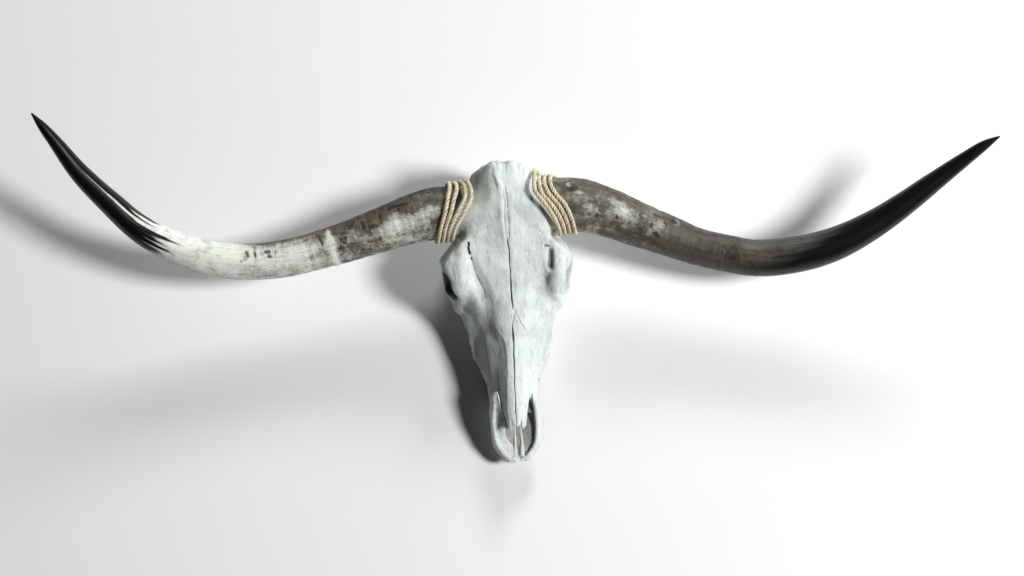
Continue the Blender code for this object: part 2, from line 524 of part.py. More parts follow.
def build():
    for old in list(bpy.data.objects):
        bpy.data.objects.remove(old)
    scene = bpy.context.scene.collection
    parts = bpy.data.collections.new("longhorn_skull")
    cutters = bpy.data.collections.new("cutters")
    scene.children.link(parts)
    scene.children.link(cutters)
    base = bpy.data.objects.new("skull_base", None)
    parts.objects.link(base)
    bone = material("bone", BONE, 0.8)
    tooth_bone = material("jaw_bone", BONE, 0.75)
    horn_finish = material("horn", HORN_BROWN, 0.35)
    rope_finish = material("rope", ROPE_STRAW, 0.9)

    whole = surface("skull", skull, (0, -0.462, -0.0144), (0.1512, 0.0456, 0.2232), CRANIUM_CELL, mirror=True)
    whole = thin_out(whole, SKULL_TRIANGLES)
    whole = cut(whole, (0, 0, 0), (0, 0, -1))
    for side in (-1, 1):
        point, normal = seam_plane(side)
        whole = cut(whole, point - normal * SEAM_GAP / 2, normal)
    split = Vector((0, 1, -FACE_SPLIT_LEAN)).normalized()
    middle = Vector((0, FACE_SPLIT_Y, 0))
    cranium_mesh = cut(whole, middle + split * SUTURE_GAP / 2, -split)
    muzzle_mesh = cut(whole, middle - split * SUTURE_GAP / 2, split)
    put("cranium", cranium_mesh, parts, base, bone)
    muzzle = put("muzzle", muzzle_mesh, parts, base, tooth_bone)

    for name, flip in (("nasal_left", False), ("nasal_right", True)):
        mesh = surface(name, nasal, (-0.003, -0.474, 0.07), (0.033, -0.262, 0.16), SMALL_CELL, flip=flip)
        piece = put(name, thin_out(mesh, NASAL_TRIANGLES), parts, base, bone)
        subtract(muzzle, piece, cutters)
    for name, shape, flip in (("premaxilla_left", premaxilla_left, False), ("premaxilla_right", premaxilla_right, True)):
        mesh = surface(name, shape, (0.0007, -0.530, 0.02), (0.056, -0.395, 0.106), SMALL_CELL, flip=flip)
        piece = put(name, thin_out(mesh, PREMAXILLA_TRIANGLES), parts, base, bone)
        subtract(muzzle, piece, cutters)

    for name, stations, rope, side in (("left", HORN_LEFT, ROPE_LEFT, 1), ("right", HORN_RIGHT, ROPE_RIGHT, -1)):
        line = horn_line(stations, side)
        horn = as_mesh(tube("horn_" + name, line[:, :3], line[:, 3], 4))
        point, normal = seam_plane(side)
        put("horn_" + name, cut(horn, point + normal * SEAM_GAP / 2, -normal), parts, base, horn_finish)
        wound = rope_line(rope, line, side)
        radii = [ROPE_RADIUS] * len(wound)
        put("rope_" + name, tube("rope_" + name, wound, radii, 2), parts, base, rope_finish)

    bpy.context.view_layer.update()
    graph = bpy.context.evaluated_depsgraph_get()
    corners = []
    for piece in parts.objects:
        if piece.type != "EMPTY":
            shape = piece.evaluated_get(graph)
            corners += [v.co.copy() for v in shape.to_mesh().vertices]
            shape.to_mesh_clear()
    middle = [(min(c[i] for c in corners) + max(c[i] for c in corners)) / 2 for i in range(2)]
    base.location = (-middle[0], -middle[1], 0)


build()
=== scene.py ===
"""Longhorn steer skull with rope-bound horns, laid out as a Blender add-on and run as a script.

Sizes are metres, and millimetres inside mm(). +Z is up, the nose points towards -Y and the animal's left horn
towards +X. Shapes are worked out with x = 0 in the middle of the skull, y = 0 at the back of the poll and
z = 0 on the floor, and put() moves them to the frame's origin. "Face plane" means the plane through the poll
that leans forward with the forehead and nose: a place on it is given by its distance from the middle and its
distance along the face, less towards the nose.
"""

import itertools
import math

import bmesh
import bpy
import numpy as np
import openvdb
from bpy.props import FloatProperty, FloatVectorProperty, IntProperty, PointerProperty
from mathutils import Matrix, Vector


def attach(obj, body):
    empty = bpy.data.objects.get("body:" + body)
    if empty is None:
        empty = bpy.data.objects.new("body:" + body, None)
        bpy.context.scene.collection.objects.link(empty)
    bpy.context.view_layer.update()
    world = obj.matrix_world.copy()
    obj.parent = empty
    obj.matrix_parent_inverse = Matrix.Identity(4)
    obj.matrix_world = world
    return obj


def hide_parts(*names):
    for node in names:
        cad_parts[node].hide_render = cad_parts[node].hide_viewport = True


bl_info = {
    "name": "Longhorn Skull",
    "version": (1, 0, 0),
    "blender": (4, 5, 0),
    "location": "3D View > Sidebar > Skull",
    "description": "Builds a longhorn steer skull with rope-bound horns round its packed frame",
    "category": "Object",
}

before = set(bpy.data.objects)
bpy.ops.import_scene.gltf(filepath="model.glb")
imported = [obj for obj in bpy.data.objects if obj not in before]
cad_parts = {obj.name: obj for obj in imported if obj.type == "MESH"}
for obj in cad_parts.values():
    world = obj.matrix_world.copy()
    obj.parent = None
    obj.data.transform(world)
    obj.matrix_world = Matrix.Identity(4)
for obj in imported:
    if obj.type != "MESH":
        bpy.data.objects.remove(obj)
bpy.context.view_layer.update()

SHIFT = np.array((-0.02967, 0.20862, 0.0))     # from the skull's own middle to the frame's origin
POLL_HEIGHT = 0.205
FACE_SLOPE = 0.2401
FACE_TILT = math.atan(FACE_SLOPE)
SEAM_POINT = (0.094, -0.078, 0.148)            # the bony core ends and the horn begins on a slanting plane here
SEAM_SLANT = (1.0, 0.34, 0.12)
HORN_START = 0.066
# low and high corners round the animal's left half of each bone, and how deep the skull's carving may go
SKULL_BOX = ((0, -0.462, -0.0056), (0.140, 0.046, 0.220))
NASAL_BOX = ((-0.012, -0.474, 0.065), (0.042, -0.258, 0.16))
JAW_BOX = ((-0.0005, -0.530, 0.02), (0.056, -0.385, 0.106))
CUT_REACH = 0.014
# the stretch of face plane that is drawn on, the drawing's step and how far its lines wander
FACE_SPAN = ((-0.16, 0.1601), (-0.57, 0.0301))
FACE_STEP = 0.0006
WANDER = 0.0009
VIEW_CENTRE = (0.0073, -0.230)                 # the camera looks at this place on the face plane
LAMP_DISTANCE = 6.0
ROPE_TURNS = 4
ROPE_STEPS = 24


def mm(*rows):
    """Rows of sizes written in millimetres, as metres."""
    return [tuple(size / 1000 for size in row) for row in rows]


HORN_LEFT = mm(
    (131.6, -87.3, -38, 45.7), (185.4, -102.3, -43, 43.5), (238.4, -125.5, -48, 40.8),
    (292.5, -148.7, -51, 36.8), (345.5, -172.1, -53, 34.2), (399.4, -188.3, -53, 33.9),
    (452.9, -199.5, -50, 33.6), (506.9, -198.6, -45, 33.3), (560.3, -191.6, -37, 32),
    (614.1, -174.5, -27, 28.8), (666.9, -148.6, -14, 25.3), (719.8, -115, 1, 21.6), (771.7, -78.9, 18, 17.3),
    (821.5, -44.2, 37, 12.5), (854.3, -22.4, 51, 8.3), (876.8, -10.3, 62, 1.4))
HORN_RIGHT = mm(
    (127.7, -90.4, -38, 45.3), (170.3, -97.3, -42, 42.9), (226.4, -112.3, -47, 39.7),
    (282.5, -128.4, -50, 37.2), (337.5, -141.6, -52, 35.1), (393.4, -152.8, -52, 34), (448, -156.9, -50, 33.5),
    (501, -152.9, -45, 32.9), (553.4, -141, -37, 31.4), (604.9, -119.1, -26, 28.4), (654.5, -87.5, -12, 24.8),
    (701.7, -38.4, 6, 21.5), (747.8, 15, 26, 17.5), (787.4, 77.1, 50, 11.1), (801.8, 98.8, 59, 8),
    (817.1, 121.4, 68, 1.4))
# rope: how far out from the middle each turn lies, at these angles round the horn (0 front, 90 poll, 180 under,
# -90 nose side)
ROPE_ANGLES = (-90, -42, -14, 11, 38, 85, 122, 180)
ROPE_LEFT = mm(
    (99.5, 90.5, 76.1, 58, 58.2, 63.4, 77, 105), (108, 99.8, 86.8, 70.3, 66.7, 72.2, 86, 114),
    (117, 109.2, 97.8, 82, 75.7, 83, 95.5, 123), (126.2, 119.5, 109.5, 93.1, 85.8, 94, 106, 132.5))
ROPE_RIGHT = mm(
    (96, 85.8, 69.5, 56.4, 58.2, 74, 83, 104.5), (104.2, 95, 81.5, 68.7, 66.8, 82.3, 91.8, 113.5),
    (112.5, 104, 93.8, 88, 82, 90.6, 100.6, 122.5), (121.5, 113, 104.4, 99.5, 95, 99.4, 109.5, 132))
# cheek teeth: place along the skull, length, half width
TEETH = mm((-398, 18, 8.5), (-379, 19, 9.5), (-359, 20, 10.5), (-335, 27, 12), (-307, 28, 13), (-278, 29, 13))
TOOTH_ROW = mm((-400, 32.5), (-360, 39.3), (-330, 46.8), (-270, 53.5))


# ---------------------------------------------------------------- distances, blends and noise

def smooth_max(a, b, k):
    """The larger of two distances, with the corner rounded over a width k."""
    blend = np.maximum(k - np.abs(a - b), 0.0)
    return np.maximum(a, b) + blend * blend / (4 * k)


def join(a, b, k):
    return -smooth_max(-a, -b, k)


def hollow(body, tool, k):
    return smooth_max(body, -tool, k)


def ease(value, low, high):
    """0 below low, 1 above high, and smooth between."""
    t = np.clip((value - low) / (high - low), 0, 1)
    return t * t * (3 - 2 * t)


def curve(at, stations):
    """Smooth value at `at` through (place, value) stations."""
    table = np.array(sorted(stations), np.float32)
    place, value = table[:, 0], table[:, 1]
    slope = np.gradient(value, place)
    i = np.clip(np.searchsorted(place, at) - 1, 0, len(place) - 2)
    span = place[i + 1] - place[i]
    u = np.clip((at - place[i]) / span, 0, 1)
    return ((1 + 2 * u) * (1 - u) ** 2 * value[i] + u * (1 - u) ** 2 * span * slope[i]
            + u * u * (3 - 2 * u) * value[i + 1] + u * u * (u - 1) * span * slope[i + 1])


def ball(p, centre, radii):
    d = [p[i] - centre[i] for i in range(3)]
    a = sum((d[i] / radii[i]) ** 2 for i in range(3)) ** 0.5
    b = sum((d[i] / radii[i] ** 2) ** 2 for i in range(3)) ** 0.5
    return a * (a - 1) / np.maximum(b, 1e-6)


def bar(p, a, b, ra, rb, squeeze=(1, 1, 1)):
    """Tapered rod from a to b. A squeeze under 1 along an axis makes it larger that way."""
    q = [(p[i] - a[i]) * squeeze[i] for i in range(3)]
    ab = [(b[i] - a[i]) * squeeze[i] for i in range(3)]
    t = np.clip(sum(q[i] * ab[i] for i in range(3)) / sum(c * c for c in ab), 0, 1)
    return sum((q[i] - t * ab[i]) ** 2 for i in range(3)) ** 0.5 - (ra + t * (rb - ra))


def limb(p, stations, k=0.004, squeeze=(1, 1, 1)):
    """A bent tapered rod through (x, y, z, radius) stations."""
    out = None
    for a, b in zip(stations, stations[1:]):
        rod = bar(p, a[:3], b[:3], a[3], b[3], squeeze)
        out = rod if out is None else join(out, rod, k)
    return out


def block(p, centre, half, edge):
    q = [np.abs(p[i] - centre[i]) - (half[i] - edge) for i in range(3)]
    outside = sum(np.maximum(c, 0) ** 2 for c in q) ** 0.5
    return outside + np.minimum(np.maximum(np.maximum(q[0], q[1]), q[2]), 0) - edge


def ring(p, centre, normal, radius, thick):
    length = sum(c * c for c in normal) ** 0.5
    d = [p[i] - centre[i] for i in range(3)]
    along = sum(normal[i] * d[i] for i in range(3)) / length
    across = np.sqrt(np.maximum(sum(c * c for c in d) - along * along, 0))
    return ((across - radius) ** 2 + along * along) ** 0.5 - thick


def slope_side(x, z, x0, z0, x1, z1):
    """Distance outside a sloping side wall from (x0, z0) above to (x1, z1) below."""
    dx, dz = x1 - x0, z1 - z0
    return ((x - x0) * -dz + (z - z0) * dx) / np.sqrt(dx * dx + dz * dz)


def ribbon(p, stations):
    """A plate along y through (y, xa, za, xb, zb, radius): in each section a thick line from a to b."""
    x, y, z = p
    xa, za, xb, zb, r = [curve(y, [(s[0], s[i]) for s in stations]) for i in range(1, 6)]
    dx, dz = xb - xa, zb - za
    t = np.clip(((x - xa) * dx + (z - za) * dz) / (dx * dx + dz * dz), 0, 1)
    d = np.sqrt((x - xa - t * dx) ** 2 + (z - za - t * dz) ** 2) - r
    ends = sorted((stations[0][0], stations[-1][0]))
    return smooth_max(smooth_max(d, ends[0] - y, 0.004), y - ends[1], 0.004)


def dice(cells, seed):
    """Repeatable numbers from 0 to 1 for whole-number cells."""
    n = (cells[0] * 374761393 + cells[1] * 668265263 + cells[2] * 1440662683 + seed * 1274126177) & 0xffffffff
    n = ((n ^ (n >> 13)) * 1274126177) & 0xffffffff
    return ((n ^ (n >> 16)) & 0xffff) / 65535.0


def noise(p, size, seed, octaves=1):
    """Smooth noise from about -1 to 1, with bumps about a size across, or a size for each axis."""
    size = np.broadcast_to(size, 3)
    total, weight, height = 0.0, 0.0, 1.0
    for octave in range(octaves):
        q = [np.asarray(p[i], np.float64) * (2 ** octave / size[i]) for i in range(3)]
        low = [np.floor(c).astype(np.int64) for c in q]
        f = [c - np.floor(c) for c in q]
        f = [c * c * (3 - 2 * c) for c in f]
        value = 0.0
        for corner in itertools.product((0, 1), repeat=3):
            share = 1.0
            for i in range(3):
                share = share * (f[i] if corner[i] else 1 - f[i])
            value = value + share * dice([low[i] + corner[i] for i in range(3)], seed + octave)
        total, weight, height = total + height * (2 * value - 1), weight + height, height * 0.5
    return total / weight


def pits(p, size, share, seed):
    """Scattered round pits: 0 on clear ground to 1 in the middle of one. share is how many cells have one."""
    q = [np.asarray(c, np.float64) / size for c in p]
    low = [np.floor(c).astype(np.int64) for c in q]
    deepest = np.zeros(np.broadcast(*q).shape)
    for step in itertools.product((-1, 0, 1), repeat=3):
        cell = [low[i] + step[i] for i in range(3)]
        wide = 0.15 + 0.35 * dice(cell, seed + 3)
        away = sum((q[i] - cell[i] - dice(cell, seed + 4 + i)) ** 2 for i in range(3))
        pit = np.clip(1 - away / wide ** 2, 0, 1) * (dice(cell, seed) < share)
        deepest = np.maximum(deepest, pit)
    return deepest


# ---------------------------------------------------------------- the skull, the animal's left half (x from 0 up)

ORBIT_CENTRE = (0.0985, -0.198, 0.117)
ORBIT_NORMAL = (0.905, -0.36, 0.225)


def face_line(y):
    """Height of the ridge line of the forehead and nose."""
    return POLL_HEIGHT + FACE_SLOPE * y + curve(y, [
        (-0.53, -0.003), (-0.47, 0.0), (-0.38, 0.002), (-0.33, -0.001), (-0.28, -0.002), (-0.22, 0.003),
        (-0.17, 0.005), (-0.12, 0.004), (-0.06, 0.003), (0.0, -0.002), (0.03, -0.008)])


def nose_arch(y):
    """How strongly the bridge of the nose is arched: the drop from its ridge is this times x squared."""
    return curve(y, [(-0.47, 15.0), (-0.40, 16.0), (-0.36, 17.0), (-0.32, 16.0), (-0.29, 13.0), (-0.26, 8.0),
                     (-0.22, 3.4), (-0.19, 1.8)])


def cheek_line(y):
    """How far out the cheek reaches, and how high that is."""
    return (curve(y, [(-0.47, 0.0455), (-0.43, 0.0470), (-0.39, 0.0490), (-0.366, 0.0545), (-0.350, 0.0620),
                      (-0.333, 0.0715), (-0.315, 0.0775), (-0.285, 0.0795), (-0.25, 0.082), (-0.21, 0.084)]),
            curve(y, [(-0.47, 0.052), (-0.40, 0.058), (-0.35, 0.062), (-0.30, 0.070), (-0.25, 0.086),
                      (-0.20, 0.100)]))


def nose_roof(p):
    """The bridge of the nose and its sloping sides, without the front end."""
    x, y, z = p
    roof_half = curve(y, [(-0.47, 0.018), (-0.43, 0.021), (-0.38, 0.024), (-0.33, 0.029), (-0.29, 0.034),
                          (-0.25, 0.047), (-0.21, 0.070), (-0.17, 0.078)])
    cheek_half, cheek_z = cheek_line(y)
    roof = z - face_line(y) + nose_arch(y) * x ** 2
    return smooth_max(roof, slope_side(x, z, roof_half, face_line(y) - 0.002, cheek_half, cheek_z), 0.016)


def upper_jaw(p):
    x, y, z = p
    cheek_half, cheek_z = cheek_line(y)
    gum_half = curve(y, [(-0.47, 0.034), (-0.43, 0.036), (-0.40, 0.040), (-0.36, 0.050), (-0.30, 0.060),
                         (-0.26, 0.062), (-0.22, 0.055)])
    gum_z = curve(y, [(-0.47, 0.036), (-0.41, 0.032), (-0.36, 0.024), (-0.28, 0.022), (-0.24, 0.026),
                      (-0.20, 0.05)])
    jaw = smooth_max(nose_roof(p), slope_side(x, z, cheek_half, cheek_z, gum_half, gum_z), 0.010)
    jaw = smooth_max(jaw, gum_z - z, 0.008)
    slanting_front = (-0.404 - y) * 0.80 + (z - 0.094) * 0.60
    jaw = smooth_max(jaw, slanting_front, 0.004)
    jaw = smooth_max(jaw, -0.438 - y, 0.004)
    return smooth_max(jaw, y + 0.235, 0.02)


def forehead(p):
    x, y, z = p
    half = curve(y, [(0.01, 0.056), (-0.005, 0.058), (-0.02, 0.059), (-0.045, 0.0595), (-0.08, 0.062),
                     (-0.11, 0.069), (-0.135, 0.085), (-0.155, 0.103), (-0.175, 0.108), (-0.20, 0.101),
                     (-0.23, 0.079), (-0.26, 0.060), (-0.29, 0.040), (-0.31, 0.030)])
    bulge = curve(y, [(-0.31, 15.0), (-0.28, 11.0), (-0.25, 6.0), (-0.20, 1.8), (-0.10, 1.3), (-0.05, 3.0),
                      (0.0, 4.5)])
    plate = smooth_max(z - face_line(y) + bulge * x ** 2, x - half, 0.018)
    plate = smooth_max(plate, face_line(y) - 0.052 - z, 0.02)
    plate = smooth_max(plate, -0.300 - y, 0.012)
    poll_back = y * 0.96 - (z - POLL_HEIGHT) * 0.28 - 0.004
    return smooth_max(plate, poll_back, 0.022)


def back_of_head(p):
    x, y, z = p
    half = curve(z, [(0.03, 0.050), (0.07, 0.070), (0.10, 0.076), (0.13, 0.066), (0.17, 0.046), (0.21, 0.034)])
    nape = smooth_max(x - half + 0.55 * (y + 0.035), y - 0.004, 0.015)
    nape = smooth_max(nape, -0.050 - y, 0.02)
    nape = smooth_max(nape, 0.060 - z, 0.02)
    nape = smooth_max(nape, z - 0.190, 0.02)
    # the neck's muscles leave a hollow on each side of a middle ridge, under a rough crest
    nape = hollow(nape, ball(p, (0.030, 0.014, 0.128), (0.024, 0.014, 0.030)), 0.010)
    nape = join(nape, limb(p, mm((0, 1, 166, 7), (30, -3, 160, 6), (54, -12, 140, 5))), 0.008)
    nape = join(nape, bar(p, (0, 0.004, 0.164), (0, 0.000, 0.105), 0.0065, 0.003), 0.006)
    brain = ball(p, (0, -0.085, 0.120), (0.056, 0.105, 0.062))
    base = limb(p, mm((0, -5, 70, 18), (0, -60, 72, 18), (0, -130, 86, 16),
                      (0, -200, 100, 14)), squeeze=(0.75, 1, 1))
    return join(join(nape, brain, 0.016), base, 0.012)


def eye_socket(p):
    reach = sum(c * c for c in ORBIT_NORMAL) ** 0.5
    deep = tuple(ORBIT_CENTRE[i] - 0.046 * ORBIT_NORMAL[i] / reach for i in range(3))
    out = tuple(ORBIT_CENTRE[i] + 0.030 * ORBIT_NORMAL[i] / reach for i in range(3))
    return bar(p, deep, out, 0.022, 0.036)


def cheek_arch(p):
    arch = limb(p, mm((60, -280, 68, 10), (72, -254, 76, 11), (88, -235, 81, 12), (104, -205, 76, 9),
                      (107, -165, 74, 8), (99, -130, 74, 8), (81, -90, 75, 8),
                      (66, -48, 75, 10)), k=0.01, squeeze=(1, 1, 0.75))
    tuber = limb(p, mm((64, -327, 56, 6.5), (70, -300, 63, 5.5), (72, -268, 74, 6)))
    return join(arch, tuber, 0.010)


def teeth(p):
    """Six cheek teeth, each with ribs down its outer side and two cups in its worn face."""
    out = None
    for y, length, half in TEETH:
        x = float(curve(y, TOOTH_ROW))
        across, along = p[0] - x, p[1] - y
        ribs = 0.0009 * np.cos(along / length * 4 * math.pi) * ease(across, -half, half)
        tooth = block(p, (x, y, 0.022), (half, length / 2 - 0.0005, 0.026), 0.0035) - ribs
        for lobe in (-1, 1):
            crescent = np.sqrt((across / half * 0.9) ** 2 + ((along - lobe * length / 4) / length * 4.4) ** 2)
            cup = np.maximum(np.abs(crescent - 0.42) * half - 0.0011, p[2] - 0.003)
            tooth = hollow(tooth, cup, 0.0008)
        out = tooth if out is None else np.minimum(out, tooth)
    return out


def nose_passage(p):
    return limb(p, mm((0, -520, 70, 42), (0, -440, 67, 34), (0, -390, 72, 24),
                      (0, -355, 76, 15)), squeeze=(1.05, 1, 0.95))


def beyond_seam(p):
    """How far a point lies out from the plane between core and horn."""
    return sum(SEAM_SLANT[i] * (p[i] - SEAM_POINT[i]) for i in range(3)) / sum(c * c for c in SEAM_SLANT) ** 0.5


def skull_shape(p):
    body = join(upper_jaw(p), forehead(p), 0.014)
    body = join(body, back_of_head(p), 0.018)
    temple = limb(p, mm((92, -130, 112, 20), (84, -85, 108, 17), (80, -45, 118, 9)),
                  k=0.01, squeeze=(1, 1, 0.72))
    body = hollow(body, temple, 0.008)
    core = limb(p, mm((20, -72, 150, 40), (70, -78, 148, 43), (200, -78, 148, 43.6)))
    core = smooth_max(core, beyond_seam(p) + 0.0004, 0.002)
    body = join(body, core, 0.018)
    # eye: ring, roof and the bar behind it
    body = join(body, ring(p, ORBIT_CENTRE, ORBIT_NORMAL, 0.0355, 0.0080), 0.018)
    body = join(body, ball(p, (0.092, -0.180, 0.143), (0.023, 0.041, 0.016)), 0.014)
    body = join(body, limb(p, mm((93, -148, 142, 11), (109, -159, 124, 9), (108, -155, 82, 8))), 0.010)
    body = join(body, cheek_arch(p), 0.012)
    body = hollow(body, eye_socket(p), 0.005)
    body = hollow(body, ball(p, (0.070, -0.165, 0.090), (0.024, 0.042, 0.026)), 0.008)
    # the brow overhangs the upper half of the eye
    body = join(body, limb(p, mm((100, -164, 134, 7.8), (100.5, -188, 138, 7.6), (95.5, -210, 140, 6.2),
                                 (87, -224, 139, 5))), 0.010)
    # openings of nerves and vessels: two behind the eye and one before the cheek teeth
    for a, b, ra, rb in (((0.052, -0.150, 0.100), (0.035, -0.130, 0.098), 0.0060, 0.0040),
                         ((0.060, -0.185, 0.112), (0.040, -0.180, 0.112), 0.0045, 0.0030),
                         ((0.062, -0.392, 0.060), (0.038, -0.372, 0.064), 0.0062, 0.0042)):
        body = hollow(body, bar(p, a, b, ra, rb), 0.002)
    # underside: passage behind the palate, palate, and the gap behind the last tooth
    body = hollow(body, limb(p, mm((0, -265, 56, 20), (0, -215, 62, 24), (0, -150, 60, 20)),
                             squeeze=(1, 1, 0.8)), 0.006)
    body = hollow(body, limb(p, mm((0, -470, 6, 24), (0, -400, 4, 26), (0, -330, 0, 34),
                                   (0, -270, -2, 34)), squeeze=(0.85, 1, 1)), 0.008)
    body = hollow(body, ball(p, (0.062, -0.205, 0.050), (0.024, 0.052, 0.036)), 0.008)
    body = hollow(body, bar(p, (0.024, -0.300, 0.028), (0.022, -0.285, 0.044), 0.0034, 0.0024), 0.0015)
    # back of the base: condyles, hooked processes that reach the floor, ear
    body = join(body, ball(p, (0.029, 0.004, 0.056), (0.017, 0.022, 0.021)), 0.006)
    body = join(body, limb(p, mm((58, -20, 78, 14), (61, -26, 45, 9.5),
                                 (57, -32, 0, 8.5)), squeeze=(1, 0.85, 1)), 0.008)
    body = join(body, ball(p, (0.042, -0.055, 0.062), (0.012, 0.020, 0.016)), 0.006)
    body = join(body, bar(p, (0.05, -0.058, 0.080), (0.080, -0.050, 0.088), 0.010, 0.009), 0.006)
    body = hollow(body, bar(p, (0.088, -0.050, 0.089), (0.060, -0.056, 0.082), 0.0050, 0.0035), 0.002)
    body = hollow(body, bar(p, (0, -0.05, 0.088), (0, 0.05, 0.076), 0.016, 0.018), 0.004)
    # nose opening, with the thin scrolled bones inside it
    body = hollow(body, nose_passage(p), 0.003)
    scrolls = [ribbon(p, mm((-440, 36, 66, 22, 73, 0.8), (-415, 33, 66, 15, 75, 1),
                            (-370, 22, 72, 6, 78, 1.2))),
               ribbon(p, mm((-436, 22, 73, 24, 62, 0.8), (-415, 15, 75, 18, 61, 1), (-370, 6, 78, 8, 66, 1.2)))]
    body = join(body, np.minimum(*scrolls), 0.002)
    body = join(body, teeth(p), 0.002)
    wing = ribbon(p, mm((-262, 30, 45, 30, 80, 4), (-235, 29, 40, 30, 85, 3.5), (-205, 27, 44, 30, 90, 3.5),
                        (-175, 22, 66, 28, 95, 3.5)))
    body = join(body, wing, 0.006)
    return smooth_max(body, -p[2], 0.0015)


# ---------------------------------------------------------------- nose bones

def nasal_half(y):
    """Half the width of both nasal bones together."""
    return curve(y, [(-0.264, 0.0003), (-0.2691, 0.0039), (-0.2734, 0.0073), (-0.2798, 0.0120),
                     (-0.2907, 0.0190), (-0.3017, 0.0246), (-0.317, 0.0285), (-0.340, 0.0295),
                     (-0.370, 0.0282), (-0.404, 0.0257), (-0.430, 0.0225), (-0.457, 0.0175), (-0.470, 0.0155)])


def crack_place(y):
    """Where the crack between the nasal bones runs, off the skull's middle."""
    return curve(y, [(-0.47, 0.0023), (-0.404, 0.0020), (-0.36, 0.0034), (-0.31, 0.0040), (-0.285, 0.0052),
                     (-0.272, 0.0082), (-0.262, 0.0095)])


def nasal(p, side, carve):
    """A nasal bone: a long narrow roof tile that follows the face, pointed behind and forked in front. p is
    given from the middle of the skull outwards."""
    x, y, z = p
    half = (np.abs(x), y, z)
    above = join(nose_roof(half), forehead(half), 0.014) + carve((side * x, y, z))
    middle = side * crack_place(y)
    gap = curve(y, [(-0.47, 0.0006), (-0.39, 0.0007), (-0.36, 0.0009), (-0.300, 0.0011), (-0.288, 0.0004),
                    (-0.280, 0.0001)])
    slab = smooth_max(above - 0.0001, x - middle - nasal_half(y), 0.0004)
    slab = smooth_max(slab, -(above + 0.0045), 0.0015)
    slab = smooth_max(slab, gap - (x - middle), 0.0006)
    ragged = 0.0030 * np.cos((x - middle) * 560 + 0.6) + 0.0012 * np.cos(x * 1500)
    slab = smooth_max(slab, -0.4655 - ragged - y, 0.0015)
    slab = smooth_max(slab, y + 0.262, 0.001)
    fork = limb((x - middle, y, z), mm((7.8, -475, 92, 3), (8.4, -452, 96, 0.6)), squeeze=(1, 1, 0.1))
    return hollow(slab, fork, 0.001)


def under_nasal(p):
    """How far the skull is lowered under the nasal bones, so that they lie let into it."""
    half, y = np.abs(p[0] - crack_place(p[1])), p[1]
    return 0.0030 * ease(nasal_half(y) - half, 0.0016, 0.0028) * (p[2] > 0.075) * (y > -0.410)


def premaxilla_wall(p):
    """The slanting side of the front jaw bone, from beside the nasal bone down to its tip."""
    return ribbon(p, mm((-402, 33.5, 87, 40.5, 68, 1.5), (-430, 37.5, 77, 43.5, 51, 2.8),
                        (-456, 39, 63, 42, 45, 3.2), (-477, 37.5, 53, 40.2, 41, 3.5),
                        (-490, 35, 48, 38.5, 38, 3.8), (-500, 29, 44, 33, 36, 4.2),
                        (-509, 21, 41, 26.2, 35, 4.4), (-519, 5.2, 38, 16, 35, 4.4)))


def palate_strip(p, x_back, x_front):
    return ribbon(p, [(-0.458, x_back - 0.0004, 0.046, x_back + 0.0004, 0.047, 0.0009),
                      (-0.482, x_front - 0.0006, 0.042, x_front + 0.0006, 0.043, 0.0012),
                      (-0.513, x_front - 0.0012, 0.038, x_front + 0.0012, 0.038, 0.0024)])


def nose_floor(p):
    """A grey-brown sheet, drawn as a dry membrane, that closes the floor of the nose between the jaw bones and
    the palate's edge: painted shade standing in for the shadowed opening.
    """
    return ribbon(p, mm((-388, 0.2, 59, 25, 74, 0.8), (-404, 0.2, 56, 35, 76, 0.8),
                        (-424, 0.2, 52, 38.5, 69, 0.8), (-450, 0.2, 46, 39.5, 59, 0.8),
                        (-477, 0.2, 40.5, 37.5, 48, 0.8), (-500, 0.2, 36.5, 30, 40, 0.8),
                        (-516, 0.2, 35.5, 14, 36, 0.8)))


def premaxilla_left(p):
    return join(premaxilla_wall(p), palate_strip(p, 0.0080, 0.0090), 0.004)


def premaxilla_right(p):
    """Drawn on +x like its twin, and mirrored afterwards. A broad plate slopes from its wall to the floor."""
    plate = ribbon(p, mm((-398, 32.2, 89, 30.5, 92, 0.8), (-414, 37.5, 79, 26.8, 89, 1.7),
                         (-430, 40, 70, 24.6, 82, 2), (-456, 39, 60, 21.1, 67, 2.6),
                         (-480, 36, 50, 19, 49, 3.2), (-492, 32, 45, 11, 40, 3.6), (-508, 23, 40, 6, 37, 3.8),
                         (-519, 12, 37, 5, 36, 3.8)))
    body = join(premaxilla_wall(p), plate, 0.006)
    return join(body, palate_strip(p, 0.0012, 0.0020), 0.004)


# ---------------------------------------------------------------- marks drawn on the bone

def along(x, v, points):
    """Distance from a drawn line, and how far along it the nearest point is, from 0 to 1."""
    points = np.array(points)
    steps = np.hypot(*np.diff(points, axis=0).T)
    done = np.concatenate([[0], np.cumsum(steps)])
    best, place = np.full(x.shape, 9.0), np.zeros(x.shape)
    for a, b, start, step in zip(points, points[1:], done, steps):
        t = np.clip(((x - a[0]) * (b[0] - a[0]) + (v - a[1]) * (b[1] - a[1])) / step ** 2, 0, 1)
        d = np.hypot(x - a[0] - t * (b[0] - a[0]), v - a[1] - t * (b[1] - a[1]))
        closer = d < best
        best, place = np.where(closer, d, best), np.where(closer, (start + t * step) / done[-1], place)
    return best, place


def stroke(x, v, points, half, depth, tips=0.12, soft=False):
    """A groove, or a ridge where depth is below nought. half is half its width, one number or stations along
    the line. tips is the share of the line over which each end fades. A soft one has no crease at its edges."""
    away, place = along(x, v, points)
    wide = curve(place, half) if isinstance(half, list) else half
    fade = ease(place, 0, tips) * ease(1 - place, 0, tips)
    return depth * fade * np.clip(1 - (away / wide) ** 2, 0, 1) ** (2 if soft else 1)


